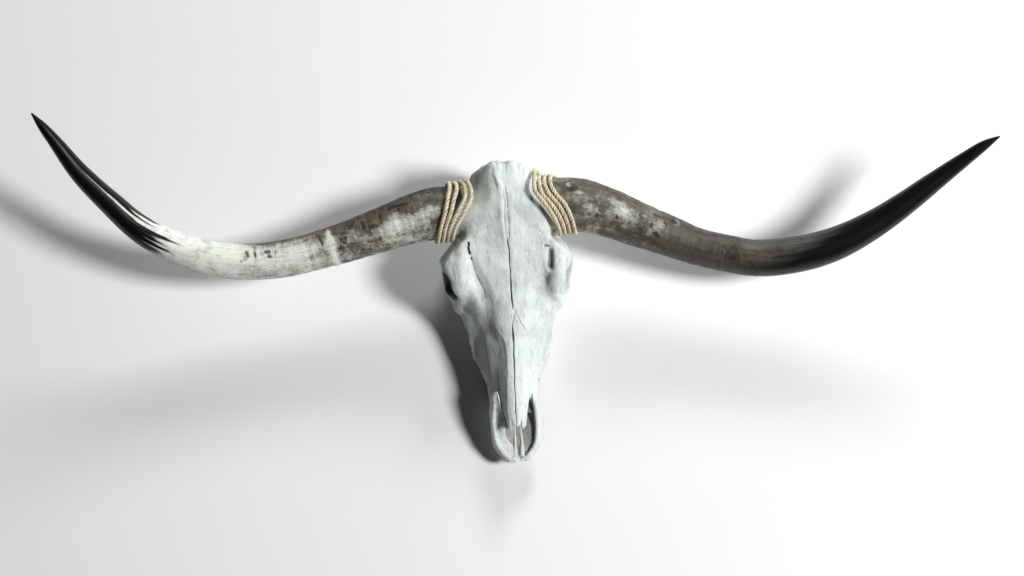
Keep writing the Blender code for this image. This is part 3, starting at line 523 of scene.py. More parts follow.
SUTURE = mm(
    (3, -138), (4.6, -155.4), (5.3, -169.1), (5, -186.6), (5.2, -202.1), (5, -215.7), (5.6, -227.4),
    (5.1, -241), (5.3, -254.6), (6.4, -270.5))
TWIN_LEFT = mm(
    (0.1, -48.3), (0.6, -65.8), (2.1, -83.4), (-0.6, -98.8), (1.2, -118.3), (1.8, -135.9), (4.2, -153.5))
TWIN_RIGHT = mm((4.7, -42.7), (5, -56.3), (6.4, -75.9), (7.5, -91.5), (7.4, -110.9), (7.9, -130.4), (5, -150))
RIDGE_LEFT = mm(
    (-7.8, -30), (-4.2, -50), (-3.6, -69.5), (-4.8, -90.8), (-4, -106.4), (-2.6, -125.9), (-0.2, -150))
RIDGE_RIGHT = mm((10.9, -42), (12.9, -64.5), (13.5, -87.9), (13.3, -111.2), (12.2, -130.6), (10.2, -155))
POLL_HOLLOW = mm((6, 10), (5, -10), (3, -34))
POLL_RIDGE = mm((-20, 6), (-15, -12), (-9, -30), (-5, -50))
BROW_SLIT = mm((-67.4, -142.5), (-66.1, -147.5), (-67, -153.3), (-66.5, -161.1), (-65, -166.7))
BROW_SLIT_END = mm((-63, -170.5), (-61.2, -176.5))
BROW_FURROW_RIGHT = mm(
    (-66, -150), (-62.5, -178.9), (-60.2, -189.7), (-56, -202.6), (-50.8, -214.6), (-45.6, -226.6),
    (-42.4, -238.5), (-40.2, -252.2), (-37.4, -271.9), (-35.5, -290), (-34, -310))
BROW_LOBE_RIGHT = mm(
    (-74, -133), (-77.5, -162.3), (-78.2, -181.7), (-74.5, -201.4), (-69, -221.2), (-63.5, -241.1),
    (-58, -260.9), (-52.5, -280))
TRENCH = mm(
    (77.6, -157.5), (79.1, -167), (79.3, -176.8), (79.1, -184.6), (78.1, -192.3), (78.6, -200.2), (80.1, -208))
TRENCH_TOP = mm((67.5, -157.7), (74.1, -157.4), (79.8, -159.7))
TRENCH_HAIR = mm((80, -157.3), (80.6, -152), (81.2, -145))
BROW_FURROW_LEFT = mm(
    (76, -196), (69, -206), (62.2, -214.9), (55.7, -228.2), (51.9, -243.6), (48.3, -257), (46.2, -276.4),
    (44.5, -296))
BROW_RIM_LEFT = mm((90, -138), (93.5, -160), (94.5, -182), (90.5, -203), (82, -223))
CRACK_LONG = mm((51.8, -118.8), (57.5, -126.2), (62.8, -132), (70.1, -141.2), (75, -151.2))
CRACK_SHORT = mm((64, -143), (68.3, -148.3), (71.4, -153.4))
SCRATCHES = [
    mm((-66, -131), (-56, -126), (-48, -118)), mm((-50, -134), (-45, -146), (-43, -158)),
    mm((-29, -173), (-36, -190), (-38, -208)), mm((33, -98), (36, -126), (34, -150)),
    mm((24, -190), (30, -215), (29, -240))]
FORK_LEFT = mm(
    (9.5, -271.5), (5, -276.7), (0.8, -281.2), (-6.3, -287.7), (-14.7, -299), (-20.5, -310.3), (-24.5, -326),
    (-26.2, -350))
FORK_RIGHT = mm(
    (9.5, -271.5), (12.8, -275.2), (15.4, -281.1), (20.5, -294.1), (27.6, -307.1), (32.5, -319), (33.5, -338),
    (32, -360))
# along the skull and up, seen from the side
CHEEK_SEAMS = [
    mm((-316, 118), (-300, 112), (-284, 103), (-268, 100), (-252, 97), (-240, 100)),
    mm((-284, 103), (-290, 90), (-296, 76), (-290, 64), (-270, 60), (-235, 66)),
    mm((-238, 138), (-255, 136), (-275, 131), (-296, 128)), mm((-165, 82), (-148, 76), (-128, 70), (-112, 66)),
    mm((-150, 140), (-140, 130), (-128, 122), (-110, 118))]
# out from the middle and along the skull, seen from below
PALATE_SEAMS = [mm((0, -430), (0, -260)), mm((0, -305), (20, -312), (45, -300))]


def face_grid():
    """The face plane's grid, with its lines made to wander a little, as bone grows."""
    x, v = np.meshgrid(*[np.arange(low, high, FACE_STEP) for low, high in FACE_SPAN], indexing="ij")
    flat = (x, v, np.zeros_like(x))
    return x + WANDER * noise(flat, 0.011, 11, 2), v + WANDER * noise(flat, 0.011, 17, 2)


def deep_marks(x, v):
    """Furrows, trenches and ridges of the forehead that are cut into the bone's own form."""
    depth = 0.0006 * noise((x, v, np.zeros_like(x)), 0.030, 5, 2)
    for line, half, deep, tips in (
            (SUTURE, [(0, 0.0007), (0.3, 0.0009), (0.6, 0.0011), (0.9, 0.0012), (1, 0.0008)], 0.0030, 0.05),
            (BROW_SLIT, 0.0016, 0.0060, 0.15), (BROW_SLIT_END, 0.0013, 0.0030, 0.12)):
        depth += stroke(x, v, line, half, deep, tips)
    for line, half, deep, tips in (
            (RIDGE_LEFT, 0.0085, -0.0013, 0.15), (RIDGE_RIGHT, 0.0085, -0.0008, 0.2),
            (POLL_HOLLOW, 0.0100, 0.0020, 0.3), (POLL_RIDGE, 0.0060, -0.0014, 0.2),
            (BROW_FURROW_RIGHT, [(0, 0.010), (0.4, 0.016), (1, 0.024)], 0.0034, 0.32),
            (BROW_FURROW_RIGHT[:8], 0.0030, 0.0010, 0.2),
            (BROW_LOBE_RIGHT, [(0, 0.014), (0.5, 0.020), (1, 0.016)], -0.0034, 0.2),
            (TRENCH, [(0, 0.0075), (0.6, 0.0085), (1, 0.0065)], 0.0052, 0.22),
            (TRENCH_TOP, 0.0030, 0.0020, 0.15),
            (BROW_FURROW_LEFT, [(0, 0.016), (1, 0.024)], 0.0034, 0.25), (BROW_RIM_LEFT, 0.016, -0.0020, 0.25)):
        depth += stroke(x, v, line, half, deep, tips, soft=True)
    return depth


def fall(x, v, ridge, steep, limit):
    """How far the face falls away to the right of a ridge, on a slope that levels out at a limit."""
    limit = np.maximum(curve(v, limit), 0.0001)
    return limit * (1 - np.exp(-np.maximum(curve(v, steep), 0) * np.maximum(curve(v, ridge) - x, 0) / limit))


def face_falls(x, v):
    """How far the face falls away at the poll and beside the nose."""
    poll = fall(x, v, [(0.03, -0.021), (-0.02, -0.019), (-0.034, -0.011), (-0.06, -0.0065), (-0.16, -0.003)],
                [(0.03, 0.34), (-0.03, 0.34), (-0.08, 0.24), (-0.14, 0.10), (-0.18, 0.0)],
                [(0.03, 0.012), (-0.06, 0.010), (-0.12, 0.005), (-0.18, 0.0)])
    nose = fall(x, v, [(-0.26, -0.030), (-0.305, -0.022), (-0.323, -0.0115), (-0.341, -0.0085),
                       (-0.376, -0.0085), (-0.411, -0.0110), (-0.46, -0.0120)],
                [(-0.262, 0.0), (-0.285, 0.30), (-0.32, 0.60), (-0.42, 0.55), (-0.46, 0.40)],
                [(-0.262, 0.0), (-0.30, 0.0045), (-0.33, 0.0065), (-0.42, 0.0055), (-0.46, 0.004)])
    return poll + nose * (v < -0.262)


def fine_marks(x, v):
    """Cracks, seams and scratches: depth in metres, and how dark each is, from 0 to 1. The darkness in the brow
    slit and across the trench is painted shade in those hollows; along the seams, cracks and scratches it is
    dirt.
    """
    depth, dark = np.zeros(x.shape), np.zeros(x.shape)
    for line, half, deep, shade, tips in [
            (SUTURE, 0.0009, 0.0003, 0.90, 0.04), (TWIN_LEFT, 0.0009, 0.0008, 0.50, 0.10),
            (TWIN_RIGHT, 0.0009, 0.0009, 0.62, 0.10), (BROW_SLIT, 0.0015, 0.0003, 1.0, 0.1),
            (BROW_SLIT_END, 0.0012, 0.0003, 0.9, 0.2), (BROW_FURROW_RIGHT[1:8], 0.0010, 0.0005, 0.42, 0.2),
            (TRENCH_HAIR, 0.0009, 0.0007, 0.5, 0.2), (CRACK_LONG, 0.0008, 0.0005, 0.34, 0.2),
            (CRACK_SHORT, 0.0008, 0.0005, 0.30, 0.2), (FORK_LEFT[:5], 0.0008, 0.0005, 0.26, 0.08),
            (FORK_RIGHT[:5], 0.0009, 0.0006, 0.70, 0.06), (TRENCH, 0.0065, 0.0, 0.62, 0.30),
            (TRENCH_TOP, 0.0026, 0.0, 0.62, 0.2), (TRENCH[:4], 0.0030, 0.0, 0.75, 0.3),
            *[(scratch, 0.0008, 0.0004, 0.2, 0.3) for scratch in SCRATCHES]]:
        mark = stroke(x, v, line, half, 1.0, tips)
        depth += deep * mark
        dark = np.maximum(dark, shade * mark)
    # knots of bone where the seams meet
    node = ease(-np.hypot(x - 0.0085, (v + 0.2775) * 0.7), -0.0090, -0.0045)
    lumps = noise((x, v, np.zeros_like(x)), 0.0034, 31)
    return depth - 0.0009 * node * lumps, np.maximum(dark, 0.30 * node * ease(-lumps, 0.05, 0.5))


def face_place(p):
    """A point's place on the face plane, and its height over it."""
    y, z = p[1], p[2] - POLL_HEIGHT
    cos, sin = math.cos(FACE_TILT), math.sin(FACE_TILT)
    return p[0], y * cos + z * sin, z * cos - y * sin


def face_carver():
    """A function of place: how deep the forehead's furrows and falls are cut there."""
    x, v = face_grid()
    deep, fall = FaceMap(deep_marks(x, v)), FaceMap(face_falls(x, v))

    def carve(p):
        across, down, above = face_place(p)
        return (deep.at(across, down) * ease(above, -0.060, -0.045)
                + fall.at(across, down) * ease(above, -0.034, -0.014))
    return carve


def uneven_eyes(p):
    """The lower rim of the right eye stands further in than the left one's."""
    under = 0.0090 * np.exp(-((p[1] + 0.178) / 0.034) ** 2) * ease(-p[2], -0.128, -0.108)
    return under * ease(-p[0], 0.080, 0.098) * ease(eye_socket((-p[0], p[1], p[2])), 0.002, 0.006)


class FaceMap:
    """A drawing on the face plane, read back at any point."""

    def __init__(self, values):
        self.values = values.astype(np.float32)

    def at(self, x, v):
        i, j = [np.clip((place - low) / FACE_STEP, 0, size - 1.001)
                for place, (low, _), size in zip((x, v), FACE_SPAN, self.values.shape)]
        a, b = i.astype(np.int32), j.astype(np.int32)
        s, t = i - a, j - b
        grid = self.values
        return ((grid[a, b] * (1 - t) + grid[a, b + 1] * t) * (1 - s)
                + (grid[a + 1, b] * (1 - t) + grid[a + 1, b + 1] * t) * s)


# ---------------------------------------------------------------- meshes

def surface(shape, low, high, cell, sides=(1,), extra=None, reach=0.0):
    """Points and quads where a distance function is nought, for the half it draws, for its mirror image across
    x = 0, or for both as one. It is worked out only in blocks of the grid that the surface may cross.
    extra(p) is added on each side by itself, and may move the surface inwards by the reach."""
    block_size = 4
    span, band = cell * block_size, 3 * cell
    counts = [int(math.ceil((high[i] - low[i]) / span)) for i in range(3)]
    middles = [(low[i] + span * (np.arange(counts[i]) + 0.5) - cell / 2).astype(np.float32) for i in range(3)]
    coarse = np.broadcast_to(shape(np.meshgrid(*middles, indexing="ij", sparse=True)), counts)
    near = np.argwhere((coarse < 1.5 * span) & (coarse > -1.5 * span - reach))
    steps = np.arange(block_size) * cell
    p = []
    for i in range(3):
        spread = [1, 1, 1]
        spread[i] = block_size
        p.append((low[i] + near[:, i, None] * span + steps).reshape(-1, *spread).astype(np.float32))
    values = np.broadcast_to(shape(p), (len(near), *[block_size] * 3))
    fields = []
    for side in sides:
        moved = values if extra is None else values + extra((side * p[0], p[1], p[2]))
        full = np.where(coarse > 0, band, -band).astype(np.float32)
        full = np.broadcast_to(full[:, None, :, None, :, None],
                               [n for c in counts for n in (c, block_size)]).copy()
        full.transpose(0, 2, 4, 1, 3, 5)[tuple(near.T)] = moved
        fields.append(full.reshape([c * block_size for c in counts])[::side])
    start = low[0] if sides[0] > 0 else -low[0] - (len(fields[0]) - 1) * cell
    if len(sides) == 2:
        fields[0] = fields[0][:-1]
    volume = openvdb.FloatGrid(band)
    volume.copyFromArray(np.clip(np.concatenate(fields), -band, band))
    points, quads = volume.convertToQuads(0.0)
    return np.array(points, np.float64) * cell + np.array([start, low[1], low[2]]), np.array(quads)


def bare_mesh(name, points, faces):
    mesh = bpy.data.meshes.new(name)
    mesh.from_pydata(points.tolist(), [], faces.tolist())
    return mesh


def thin_out(mesh, triangles):
    """The same surface with fewer triangles."""
    holder = bpy.data.objects.new("thinning", mesh)
    bpy.context.scene.collection.objects.link(holder)
    reduce = holder.modifiers.new("reduce", "DECIMATE")
    reduce.ratio = triangles / (2 * len(mesh.polygons))
    bpy.context.view_layer.update()
    result = bpy.data.meshes.new_from_object(holder.evaluated_get(bpy.context.evaluated_depsgraph_get()))
    bpy.data.objects.remove(holder)
    return result


def refine(mesh, wanted):
    """Splits the edges of faces whose middle is wanted. wanted(p) is given arrays of places."""
    work = bmesh.new()
    work.from_mesh(mesh)
    work.faces.ensure_lookup_table()
    middles = np.array([f.calc_center_median() for f in work.faces])
    edges = {e for i in np.flatnonzero(wanted(middles.T)) for e in work.faces[i].edges}
    bmesh.ops.subdivide_edges(work, edges=list(edges), cuts=1, use_grid_fill=True)
    bmesh.ops.triangulate(work, faces=[f for f in work.faces if len(f.verts) > 4])
    result = bpy.data.meshes.new(mesh.name)
    work.to_mesh(result)
    work.free()
    return result


def places(mesh):
    """The mesh's points and their normals, as arrays of three rows."""
    points = np.empty(len(mesh.vertices) * 3)
    mesh.vertices.foreach_get("co", points)
    normals = np.empty(len(mesh.vertices) * 3, np.float32)
    mesh.vertex_normals.foreach_get("vector", normals)
    return points.reshape(-1, 3).T.copy(), normals.reshape(-1, 3).T.astype(np.float64)


def put(name, mesh, points, finish, nodes, marks):
    """Makes a piece that stands for CAD nodes, at the frame's origin, with its marks as attributes."""
    mesh.vertices.foreach_set("co", (points.T + SHIFT).ravel())
    mesh.validate()
    mesh.shade_smooth()
    for key, values in marks.items():
        kind, field = ("FLOAT_VECTOR", "vector") if values.ndim == 2 else ("FLOAT", "value")
        layer = mesh.attributes.new(key, kind, "POINT")
        layer.data.foreach_set(field, np.ascontiguousarray(values, np.float32).ravel())
    mesh.materials.append(bpy.data.materials[finish])
    mesh.update()
    obj = bpy.data.objects.new(name, mesh)
    bpy.context.scene.collection.objects.link(obj)
    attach(obj, "root")
    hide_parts(*nodes)


def put_bone(name, mesh, points, nodes, **marks):
    """Makes a piece of bone. A mark that it doesn't have is nought all over it."""
    marks = {key: marks.get(key, np.zeros_like(points[0])) for key in ("dark", "sheltered", "enamel", "dried")}
    put(name, mesh, points, "chalky_bone", nodes, marks)


def shelter(shape, half, p, n, reach):
    """How closed in a place is: 0 in the open, 1 where the bone ahead is near. half is how far out it is. It sets
    how much shade is painted into recesses.
    """
    ahead = (half + np.sign(p[0]) * n[0] * reach, p[1] + n[1] * reach, p[2] + n[2] * reach)
    return np.clip(1 - shape(ahead) / reach, 0, 1)


def bone_grain(p):
    """Depth of the bone's own surface: faint swells, long grain and pores."""
    long_grain = noise(p, (0.0022, 0.0160, 0.0022), 41, 2)
    depth = 0.00075 * noise(p, 0.014, 43, 3) + 0.00030 * long_grain + 0.00026 * noise(p, 0.0040, 45, 2)
    depth += 0.00060 * noise(p, (0.009, 0.030, 0.009), 49, 2)
    spongy = ease(noise(p, 0.035, 51, 2), -0.1, 0.45)
    return depth + 0.00035 * spongy * pits(p, 0.0042, 0.30, 47)


# ---------------------------------------------------------------- horns and ropes

HORN_SWELL = 0.0045      # how far a horn's base swells out on its poll side
HORN_POINTS = 1200       # points along a horn's middle line, and along the one that its rope is wound on
WINDING_POINTS = 200
STRANDS_IN_ROPE = 2.155  # a round rope's radius by that of its three strands, which touch
STRAND_SIDES = 12
STRAND_STEP = 0.0012
# blotches: distance from the base in millimetres, place across the horn from -1 (nose side) to 1 (poll side),
# half the length in millimetres, half the width on the scale of -1 to 1, and how strong it is
BLOTCHES_RIGHT = {
    "pale": [
        (20, 0.2, 45, 1.2, -0.25), (100, 0.88, 220, 0.5, -1), (380, 0.98, 100, 0.22, -0.45),
        (85, -0.35, 50, 0.45, 0.3), (135, -0.2, 30, 0.45, 0.35), (168, 0.2, 22, 0.4, -0.9),
        (253, -0.1, 8, 1, 0.8), (322, -0.1, 40, 0.65, 0.4), (455, 0.05, 60, 0.9, 0.35),
        (500, 0, 70, 0.95, 0.6)],
    "brown": [
        (167, 0.16, 23, 0.4, 1.4), (200, -0.7, 50, 0.3, 0.7), (150, -0.75, 30, 0.22, 0.4),
        (226, -0.08, 15, 0.28, 1), (262, 0.7, 30, 0.3, 0.8), (330, -0.85, 60, 0.25, 0.45),
        (362, 0.12, 20, 0.34, 0.75), (398, -0.8, 46, 0.26, 1.4), (345, -0.62, 30, 0.2, 0.5),
        (430, 0.9, 70, 0.25, 0.8), (520, 0.9, 60, 0.25, 0.7)],
    "dark": [
        (120, 0.82, 180, 0.42, 0.62), (124, 0.46, 12, 0.07, 1), (104, 0.4, 9, 0.06, 0.9),
        (114, 0.28, 18, 0.05, 0.6), (187, 0.2, 4, 0.26, 0.9), (170, 0.02, 8, 0.1, 0.7),
        (150, 0.26, 4, 0.18, 0.6), (226, -0.06, 6, 0.12, 0.8), (234, -0.08, 3, 0.26, 0.7),
        (215, 0.42, 12, 0.22, 0.6), (270, 0.16, 3.5, 0.34, 0.9), (239, 0.2, 3, 0.4, 0.5),
        (372, 0.22, 7, 0.12, 1.1), (368, -0.06, 6, 0.12, 0.9), (357, 0.12, 4, 0.2, 0.5),
        (398, 0.16, 4, 0.34, 0.9), (411, 0.1, 6, 0.3, 0.9), (420, -0.2, 8, 0.16, 0.6),
        (398, -0.88, 40, 0.18, 0.45)]}
BLOTCHES_LEFT = {
    "pale": [
        (52, 0.62, 6, 0.1, 0.5), (66, 0.3, 6, 0.12, 0.4), (80, -0.24, 16, 0.35, 0.18),
        (115, -0.12, 30, 0.45, 0.2), (145, 0.04, 20, 0.35, 0.2), (150, -0.55, 12, 0.18, 0.22),
        (214, 0.02, 20, 0.4, 0.34), (247, 0.55, 7, 0.26, 0.5)],
    "brown": [
        (187, -0.5, 14, 0.36, 0.9), (110, 0.9, 90, 0.25, 0.5), (260, 0.9, 80, 0.25, 0.45),
        (300, -0.1, 70, 0.9, 0.2), (362, 0.05, 18, 0.6, 0.75)],
    "dark": [
        (58, 0.48, 14, 0.28, 0.7), (138, -0.28, 4, 0.1, 1.2), (100, -0.48, 3.5, 0.08, 1),
        (187, -0.55, 10, 0.28, 0.6), (202, -0.12, 3.5, 0.1, 1.1), (215, -0.42, 8, 0.12, 1),
        (226, -0.5, 8, 0.1, 0.6), (240, 0.55, 10, 0.14, 0.6), (298, 0.14, 2.5, 0.16, 0.7),
        (366, -0.4, 13, 0.26, 0.45), (362, 0.15, 7, 0.2, 0.3), (175, 0.45, 30, 0.2, 0.35)]}
BASE_RIGHT = {"pale": [(0, 0.30), (0.06, 0.42), (0.16, 0.44), (0.24, 0.48), (0.28, 0.62), (0.40, 0.70),
                       (0.60, 0.80), (0.9, 0.6)],
              "brown": [(0, 0.20), (0.10, 0.18), (0.18, 0.30), (0.30, 0.22), (0.40, 0.14), (0.9, 0.1)],
              "dark": [(0, 0.34), (0.05, 0.16), (0.30, 0.12), (0.45, 0.08), (0.9, 0.0)]}
BASE_LEFT = {"pale": [(0, 0.22), (0.10, 0.26), (0.22, 0.20), (0.30, 0.08), (0.40, 0.02), (0.9, 0.0)],
             "brown": [(0, 0.22), (0.15, 0.25), (0.28, 0.38), (0.40, 0.30), (0.55, 0.30), (0.9, 0.3)],
             "dark": [(0, 0.24), (0.06, 0.16), (0.24, 0.18), (0.34, 0.30), (0.45, 0.36), (0.9, 0.4)]}
# where the black begins: turn from the top of the horn, as seen (0 poll side, 90 towards the viewer), and place
BLACK_RIGHT = [(0, 0.635), (35, 0.6), (50, 0.64), (62, 0.6), (72, 0.745), (80, 0.56), (88, 0.542), (98, 0.575),
               (108, 0.56), (117, 0.59), (125, 0.538), (136, 0.585), (150, 0.56), (170, 0.58), (230, 0.6),
               (300, 0.64)]
BLACK_LEFT = [(0, 0.555), (50, 0.545), (75, 0.515), (95, 0.48), (110, 0.45), (130, 0.425), (150, 0.4),
              (175, 0.385), (220, 0.4), (280, 0.5), (330, 0.545)]


def from_face(out, along_face, above, side):
    """A point from its distance out, its place along the face line and its height above the face plane."""
    y = along_face * math.cos(FACE_TILT) - above * math.sin(FACE_TILT)
    z = POLL_HEIGHT + along_face * math.sin(FACE_TILT) + above * math.cos(FACE_TILT)
    return side * out, y, z


def lengths(points):
    """The distance run along a line at each of its points."""
    return np.concatenate([[0], np.cumsum(np.linalg.norm(np.diff(points, axis=0), axis=1))])


def horn_line(stations, side, count):
    """Points, radii and distances down the middle of a horn."""
    placed = [(*from_face(out, down, above, side), radius) for out, down, above, radius in stations]
    start = (side * HORN_START, placed[0][1] + 0.0015, placed[0][2] + 0.0008, placed[0][3])
    placed = np.array([start, (side * (SEAM_POINT[0] + 0.018), *start[1:])] + placed)
    length = lengths(placed[:, :3])
    at = np.linspace(0, length[-1], count)
    return np.stack([curve(at, list(zip(length, placed[:, i]))) for i in range(4)] + [at], axis=1)


def heading(points):
    """The direction ahead at each point of a line."""
    ahead = np.gradient(points, axis=0)
    return ahead / np.linalg.norm(ahead, axis=1)[:, None]


def frames(points):
    """Directions along a line and two square to it, with the first of those kept as near up as it goes."""
    ahead = heading(points)
    side = np.cross(ahead, (0, 0, 1.0))
    side /= np.linalg.norm(side, axis=1)[:, None]
    return ahead, np.cross(side, ahead), side


def carried_frames(points):
    """Directions square to a winding line, carried along it without twist."""
    ahead = heading(points)
    first = np.cross(ahead[0], (0.3, 0.2, 1.0))
    rows = [first / np.linalg.norm(first)]
    for t in ahead[1:]:
        nxt = rows[-1] - t * (rows[-1] @ t)
        rows.append(nxt / np.linalg.norm(nxt))
    first = np.array(rows)
    return ahead, first, np.cross(ahead, first)


def spokes(first, second, angle):
    """Directions of a ring round each point of a line, from two directions square to it."""
    return first[:, None] * np.cos(angle)[None, :, None] + second[:, None] * np.sin(angle)[None, :, None]


def tube_faces(rows, sides, start=0):
    """Quads of a tube of rows x sides points, and a fan over each end from two further points."""
    i, j = np.meshgrid(np.arange(rows - 1), np.arange(sides), indexing="ij")
    k = (j + 1) % sides
    quads = np.stack([i * sides + j, i * sides + k, (i + 1) * sides + k, (i + 1) * sides + j],
                     axis=-1).reshape(-1, 4)
    ring_now = np.arange(sides)
    ring_next = (ring_now + 1) % sides
    head, tail = rows * sides, rows * sides + 1
    first = np.stack([np.full(sides, head), ring_next, ring_now], axis=1)
    last = np.stack([np.full(sides, tail), (rows - 1) * sides + ring_now, (rows - 1) * sides + ring_next],
                    axis=1)
    return (quads + start).tolist() + (first + start).tolist() + (last + start).tolist()


def around(degrees, stations, which):
    """A value round the horn, smooth over the full circle."""
    circle = [(s[0] + turn, s[which]) for turn in (-360, 0, 360) for s in stations]
    return curve(degrees % 360, circle)


def rope_out(degrees, turns):
    """How far out the rope lies, by the angle it has wound. It begins under the horn."""
    first = turns[0][0] - 0.004
    stations = [(-180, first)] + [(360 * i + angle, out) for i, turn in enumerate(turns)
                                  for angle, out in zip(ROPE_ANGLES, turn)]
    return curve(degrees, stations)


def rope_line(turns, horn, side, radius, clearance):
    """Points of a rope wound round a horn's base, lying on the bone and the horn under it."""
    count = ROPE_TURNS * ROPE_STEPS
    turn = np.linspace(-0.47, ROPE_TURNS - 0.53, count)
    angle = turn * 2 * math.pi
    out = rope_out(turn * 360, turns)
    axis_y = np.interp(out, side * horn[:, 0], horn[:, 1])
    axis_z = np.interp(out, side * horn[:, 0], horn[:, 2])
    reach = np.arange(0.034, 0.075, 0.0005)[None, :]
    y = axis_y[:, None] + reach * np.sin(angle)[:, None]
    z = axis_z[:, None] + reach * np.cos(angle)[:, None]
    x = np.broadcast_to(out[:, None], y.shape)
    horn_radius = np.interp(out, side * horn[:, 0], horn[:, 3])[:, None]
    on_horn = beyond_seam((x, y, z)) > -0.010
    clear = np.minimum(np.where(on_horn, reach - horn_radius, 1), skull_shape((x, y, z)))
    need = reach[0][np.argmax(clear > radius + clearance, axis=1)]
    window = ROPE_STEPS // 5
    padded = np.pad(need, 2 * window, mode="edge")
    spread = np.array([padded[i:i + 2 * window + 1].max() for i in range(len(padded) - 2 * window)])
    rest = np.convolve(spread, np.ones(2 * window + 1) / (2 * window + 1), mode="valid")
    rest = rest + HORN_SWELL * np.clip(np.sin(angle), 0, 1) ** 1.5 * ease(turn, 0.35, 0.95)
    return np.stack([side * out, axis_y + rest * np.sin(angle), axis_z + rest * np.cos(angle)], axis=1)


# ---------------------------------------------------------------- shader maths

class Wire:
    """A node's output that can stand in sums. Numbers use Math nodes, colours Mix and vectors Vector Math."""

    def __init__(self, graph, socket):
        self.graph, self.socket = graph, socket

    def sum(self, operation, other, other_first=False):
        a, b = (other, self) if other_first else (self, other)
        kind = self.socket.type
        if kind == "VALUE" and isinstance(other, Wire):
            kind = other.socket.type
        if kind == "VECTOR":
            return self.graph.node("ShaderNodeVectorMath", {"operation": operation}, {0: a, 1: b})
        if kind == "RGBA":
            mix = {"data_type": "RGBA", "blend_type": operation, "clamp_result": False}
            return self.graph.node("ShaderNodeMix", mix, {0: 1.0, 6: a, 7: b}, 2)
        return self.graph.node("ShaderNodeMath", {"operation": operation}, {0: a, 1: b})

    def __add__(self, other):
        return self.sum("ADD", other)

    def __radd__(self, other):
        return self.sum("ADD", other, True)

    def __sub__(self, other):
        return self.sum("SUBTRACT", other)

    def __rsub__(self, other):
        return self.sum("SUBTRACT", other, True)

    def __mul__(self, other):
        return self.sum("MULTIPLY", other)

    def __rmul__(self, other):
        return self.sum("MULTIPLY", other, True)

    def ease(self, low, high):
        """0 below low, 1 above high, and smooth between."""
        return self.graph.node("ShaderNodeMapRange", {"interpolation_type": "SMOOTHSTEP"},
                               {0: self, 1: low, 2: high, 3: 0.0, 4: 1.0})

    def tint(self, colour, share):
        """This colour turned towards another by a share."""
        return self.graph.blend(share, self, colour)


class Graph:
    """The nodes of one material."""

    def __init__(self, name):
        self.material = bpy.data.materials.new(name)
        self.material.use_nodes = True
        self.tree = self.material.node_tree
        self.shader = self.tree.nodes["Principled BSDF"]

    def node(self, kind, settings=None, inputs=None, output=0):
        """Adds a node with its settings, a ramp's stops among them, and its sockets' values or links."""
        added = self.tree.nodes.new(kind)
        for key, value in (settings or {}).items():
            if key == "stops":
                while len(added.color_ramp.elements) < len(value):
                    added.color_ramp.elements.new(0.5)
                for stop, (place, colour) in zip(added.color_ramp.elements, value):
                    stop.position, stop.color = place, (*colour, 1)
            else:
                setattr(added, key, value)
        for key, value in (inputs or {}).items():
            self.feed(added.inputs[key], value)
        return Wire(self, added.outputs[output])

    def feed(self, socket, value):
        if isinstance(value, Wire):
            self.tree.links.new(value.socket, socket)
        elif hasattr(value, "__len__"):
            socket.default_value = (*value, 1) if socket.type == "RGBA" and len(value) == 3 else value
        else:
            socket.default_value = (value,) * 3 + (1,) if socket.type == "RGBA" else value

    def blend(self, share, a, b):
        """Two colours mixed: the first where share is 0, the second where it is 1."""
        return self.node("ShaderNodeMix", {"data_type": "RGBA"}, {0: share, 6: a, 7: b}, 2)

    def mark(self, name, output="Fac"):
        return self.node("ShaderNodeAttribute", {"attribute_name": name}, output=output)

    def place(self):
        return self.node("ShaderNodeTexCoord", output="Object")

    def stretch(self, vector, scale):
        return self.node("ShaderNodeMapping", {}, {"Vector": vector, "Scale": scale})

    def speckle(self, vector, scale, detail=3.0, roughness=0.55, distortion=0.0):
        return self.node("ShaderNodeTexNoise", {}, {"Vector": vector, "Scale": scale, "Detail": detail,
                                                    "Roughness": roughness, "Distortion": distortion})

    def cells(self, vector, scale, randomness=1.0):
        return self.node("ShaderNodeTexVoronoi", {},
                         {"Vector": vector, "Scale": scale, "Randomness": randomness})

    def finish(self, colour, roughness, height, distance, strength=1.0):
        """Feeds the shader: colour, roughness and a bump of that height in metres."""
        self.feed(self.shader.inputs["Base Color"], colour)
        self.feed(self.shader.inputs["Roughness"], roughness)
        bump = self.node("ShaderNodeBump", {}, {"Strength": strength, "Distance": distance, "Height": height})
        self.feed(self.shader.inputs["Normal"], bump)
        return self.material


